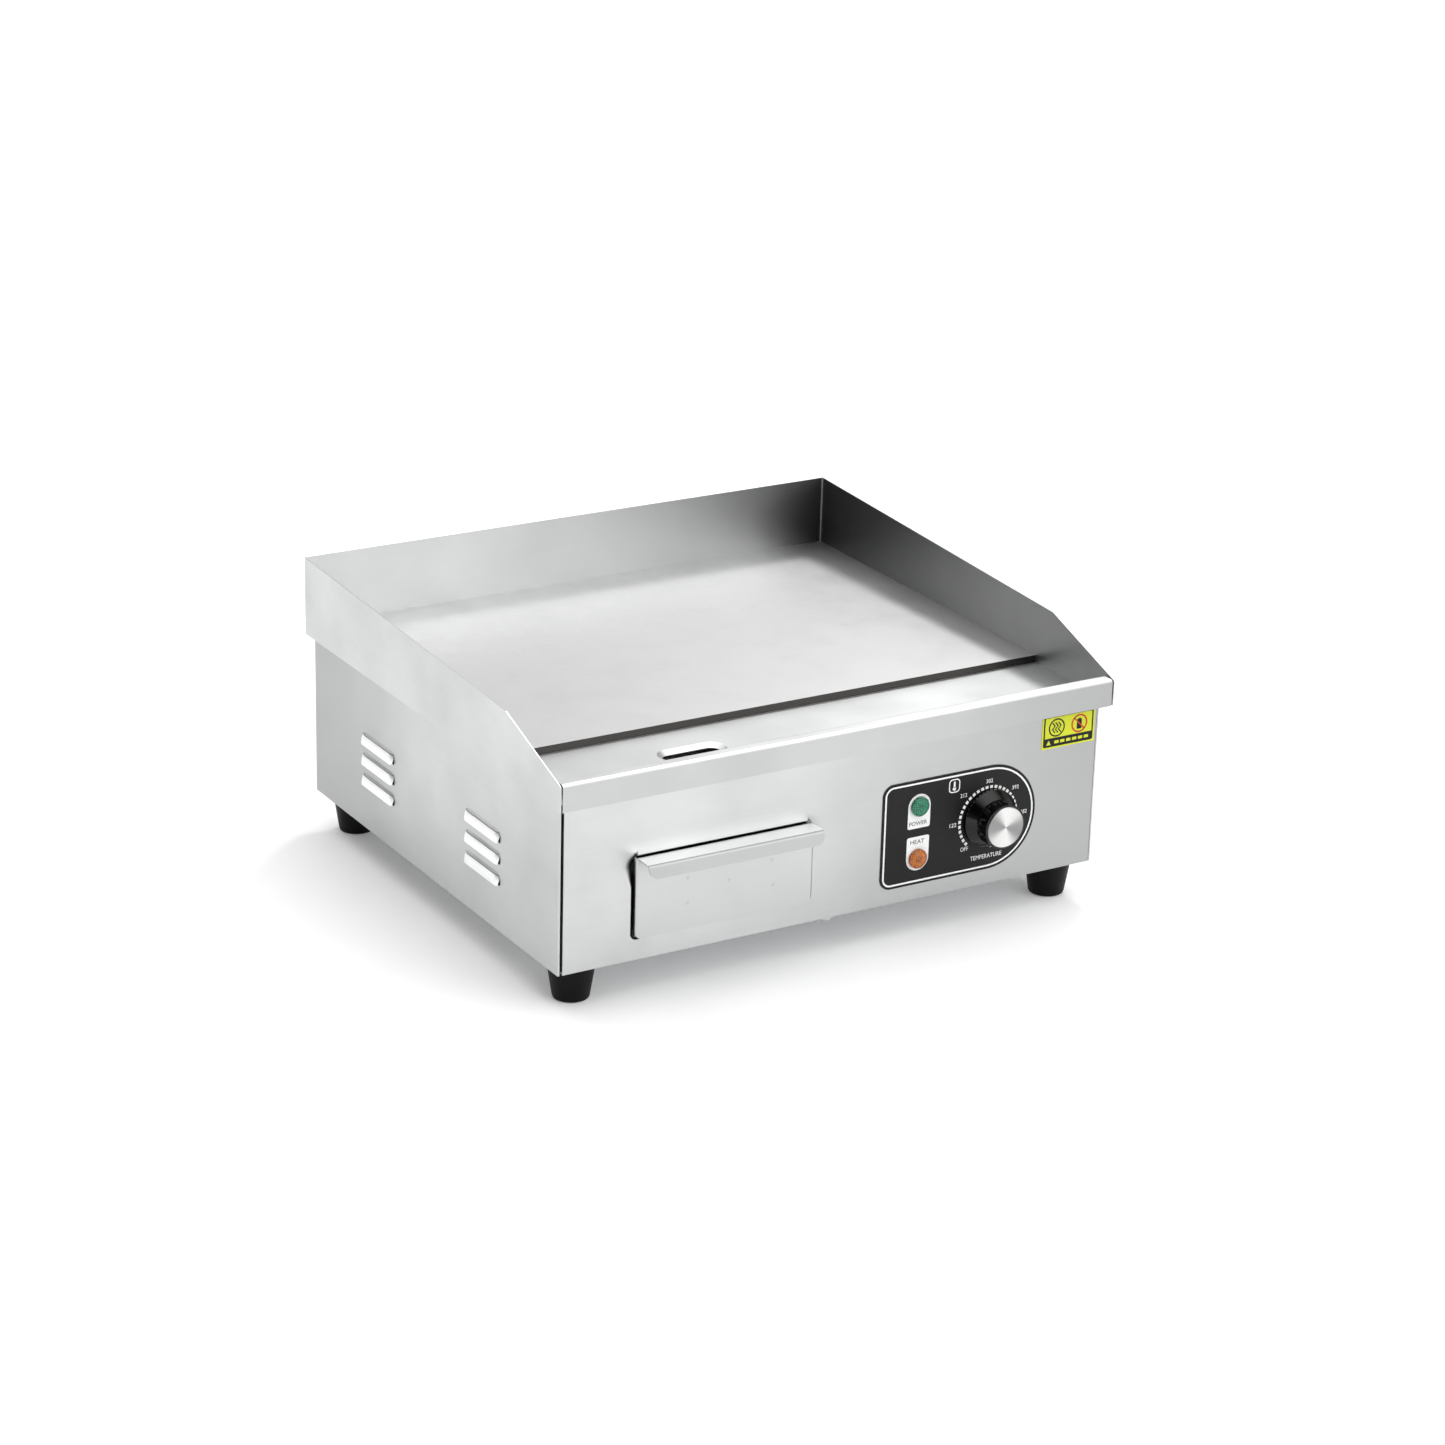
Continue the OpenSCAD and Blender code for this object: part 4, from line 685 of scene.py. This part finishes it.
upright_piece("rating_plate_rules", ruled, plate_high.y * MM, GREY_INK, turn=180.0)


# ---------- corner welds ----------
# a thin dressed bead up each inner rear corner of the splash guard
BEAD_R = 0.75 * MM
BEAD_IN = 0.2 * MM      # its middle stands this far inside the corner
BEAD_DROPS = 24
DROP_SWELL = 1.16


def corner_weld(name, side):
    low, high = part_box("griddle_plate")
    guard_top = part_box("rear_splash_guard")[1].z
    corner_x = high.x if side > 0 else low.x
    bm = bmesh.new()
    ring = bmesh.ops.create_circle(bm, cap_ends=True, segments=12, radius=BEAD_R)
    bmesh.ops.translate(bm, verts=ring["verts"], vec=(
        corner_x - side * BEAD_IN, high.y - BEAD_IN, high.z + 0.05 * MM))
    climb = guard_top - high.z - 0.6 * MM
    top = list(bm.faces)
    for i in range(BEAD_DROPS):
        made = bmesh.ops.extrude_face_region(bm, geom=top)["geom"]
        ring_up = [g for g in made if isinstance(g, bmesh.types.BMVert)]
        if i:
            bmesh.ops.delete(bm, geom=top, context="FACES_ONLY")
        bmesh.ops.translate(bm, verts=ring_up, vec=(0.0, 0.0, climb / BEAD_DROPS))
        # each drop of the weld swells a little
        swell = DROP_SWELL if i % 2 == 0 else 1 / DROP_SWELL
        middle = sum((v.co for v in ring_up), Vector()) / len(ring_up)
        bmesh.ops.scale(bm, verts=ring_up, vec=(swell, swell, 1.0), space=Matrix.Translation(-middle))
        top = [g for g in made if isinstance(g, bmesh.types.BMFace)]
    return finished(name, bm, WELD_BEAD, smooth=40.0)


WELD_BEAD = plated("dressed_weld", "F1F1F0", "DEDEDC", 0.3, 3.0)
corner_weld("left_corner_weld", -1)
corner_weld("right_corner_weld", 1)


# ---------- studio ----------
FLOOR_HALF = 14.0       # m
FLOOR_GLOW = 0.16
SKY_BASE = 0.30
# direction, full within this many degrees, nothing beyond this many, and how much it adds
SKY_PATCHES = [
    ((0.05, 0.10, 1.0), 14.0, 52.0, 1.9),
    ((0.48, -0.80, 0.50), 12.0, 38.0, 2.1),
    ((0.48, 0.80, 0.36), 10.0, 40.0, 0.22),
    ((-0.60, 0.72, 0.24), 12.0, 46.0, -0.26),
    ((-0.15, 0.80, 0.58), 6.0, 22.0, 1.1),
    ((-0.48, -0.80, 0.36), 20.0, 52.0, -0.36),
]


def studio_floor():
    """Matt white acrylic table lit softly from below, wide enough to fill every view."""
    made, tree, shader, place = finish("white_acrylic", 0.0, 0.9, IOR=1.5, Emission_Color=srgb("FFFFFF"),
                                       Emission_Strength=FLOOR_GLOW)
    feed(tree, shader, Base_Color=add(tree, "ShaderNodeMix", {
        SHARE: cloud(tree, place, 40), FIRST: "F8F8F8", SECOND: "F5F5F5"}, data_type="RGBA").outputs[MIXED])
    bm = bmesh.new()
    bmesh.ops.create_grid(bm, x_segments=2, y_segments=2, size=FLOOR_HALF)
    mesh = bpy.data.meshes.new("floor")
    bm.to_mesh(mesh)
    bm.free()
    mesh.materials.append(made)
    floor = bpy.data.objects.new("floor", mesh)
    bpy.context.scene.collection.objects.link(floor)


def softbox(name, place, aim, width, height, watts):
    """A rectangular lamp that faces its aim."""
    light = bpy.data.lights.new(name, "AREA")
    light.shape = "RECTANGLE"
    light.size = width
    light.size_y = height
    light.energy = watts
    holder = bpy.data.objects.new(name, light)
    holder.matrix_world = Matrix.Translation(place) @ (
        Vector(place) - Vector(aim)).to_track_quat("Z", "Y").to_matrix().to_4x4()
    bpy.context.scene.collection.objects.link(holder)


def studio_sky():
    """Soft light from all round: bright above and high at the front right, dim at the rear left and front
    left."""
    world = bpy.data.worlds.new("studio")
    world.use_nodes = True
    tree = world.node_tree
    tree.nodes.clear()
    way = add(tree, "ShaderNodeTexCoord").outputs["Generated"]
    total = None
    for direction, narrow, wide, gain in SKY_PATCHES:
        unit = Vector(direction).normalized()
        along = add(tree, "ShaderNodeVectorMath", {0: way, 1: unit}, operation="DOT_PRODUCT")
        patch = add(tree, "ShaderNodeMapRange",
                    {"Value": along.outputs["Value"], "From Min": math.cos(math.radians(wide)),
                     "From Max": math.cos(math.radians(narrow)), "To Max": gain},
                    interpolation_type="SMOOTHSTEP").outputs["Result"]
        total = add(tree, "ShaderNodeMath", {0: patch, 1: SKY_BASE if total is None else total},
                    operation="ADD").outputs[0]
    sky = add(tree, "ShaderNodeBackground", {"Color": "FFFFFF", "Strength": total})
    add(tree, "ShaderNodeOutputWorld", {"Surface": sky.outputs[0]})
    bpy.context.scene.world = world


studio_floor()
studio_sky()
softbox("key_softbox", (1.30, 1.17, 1.95), (0.0, 0.0, 0.1), 0.45, 0.45, 15.0)
bpy.context.scene.view_settings.view_transform = "Standard"
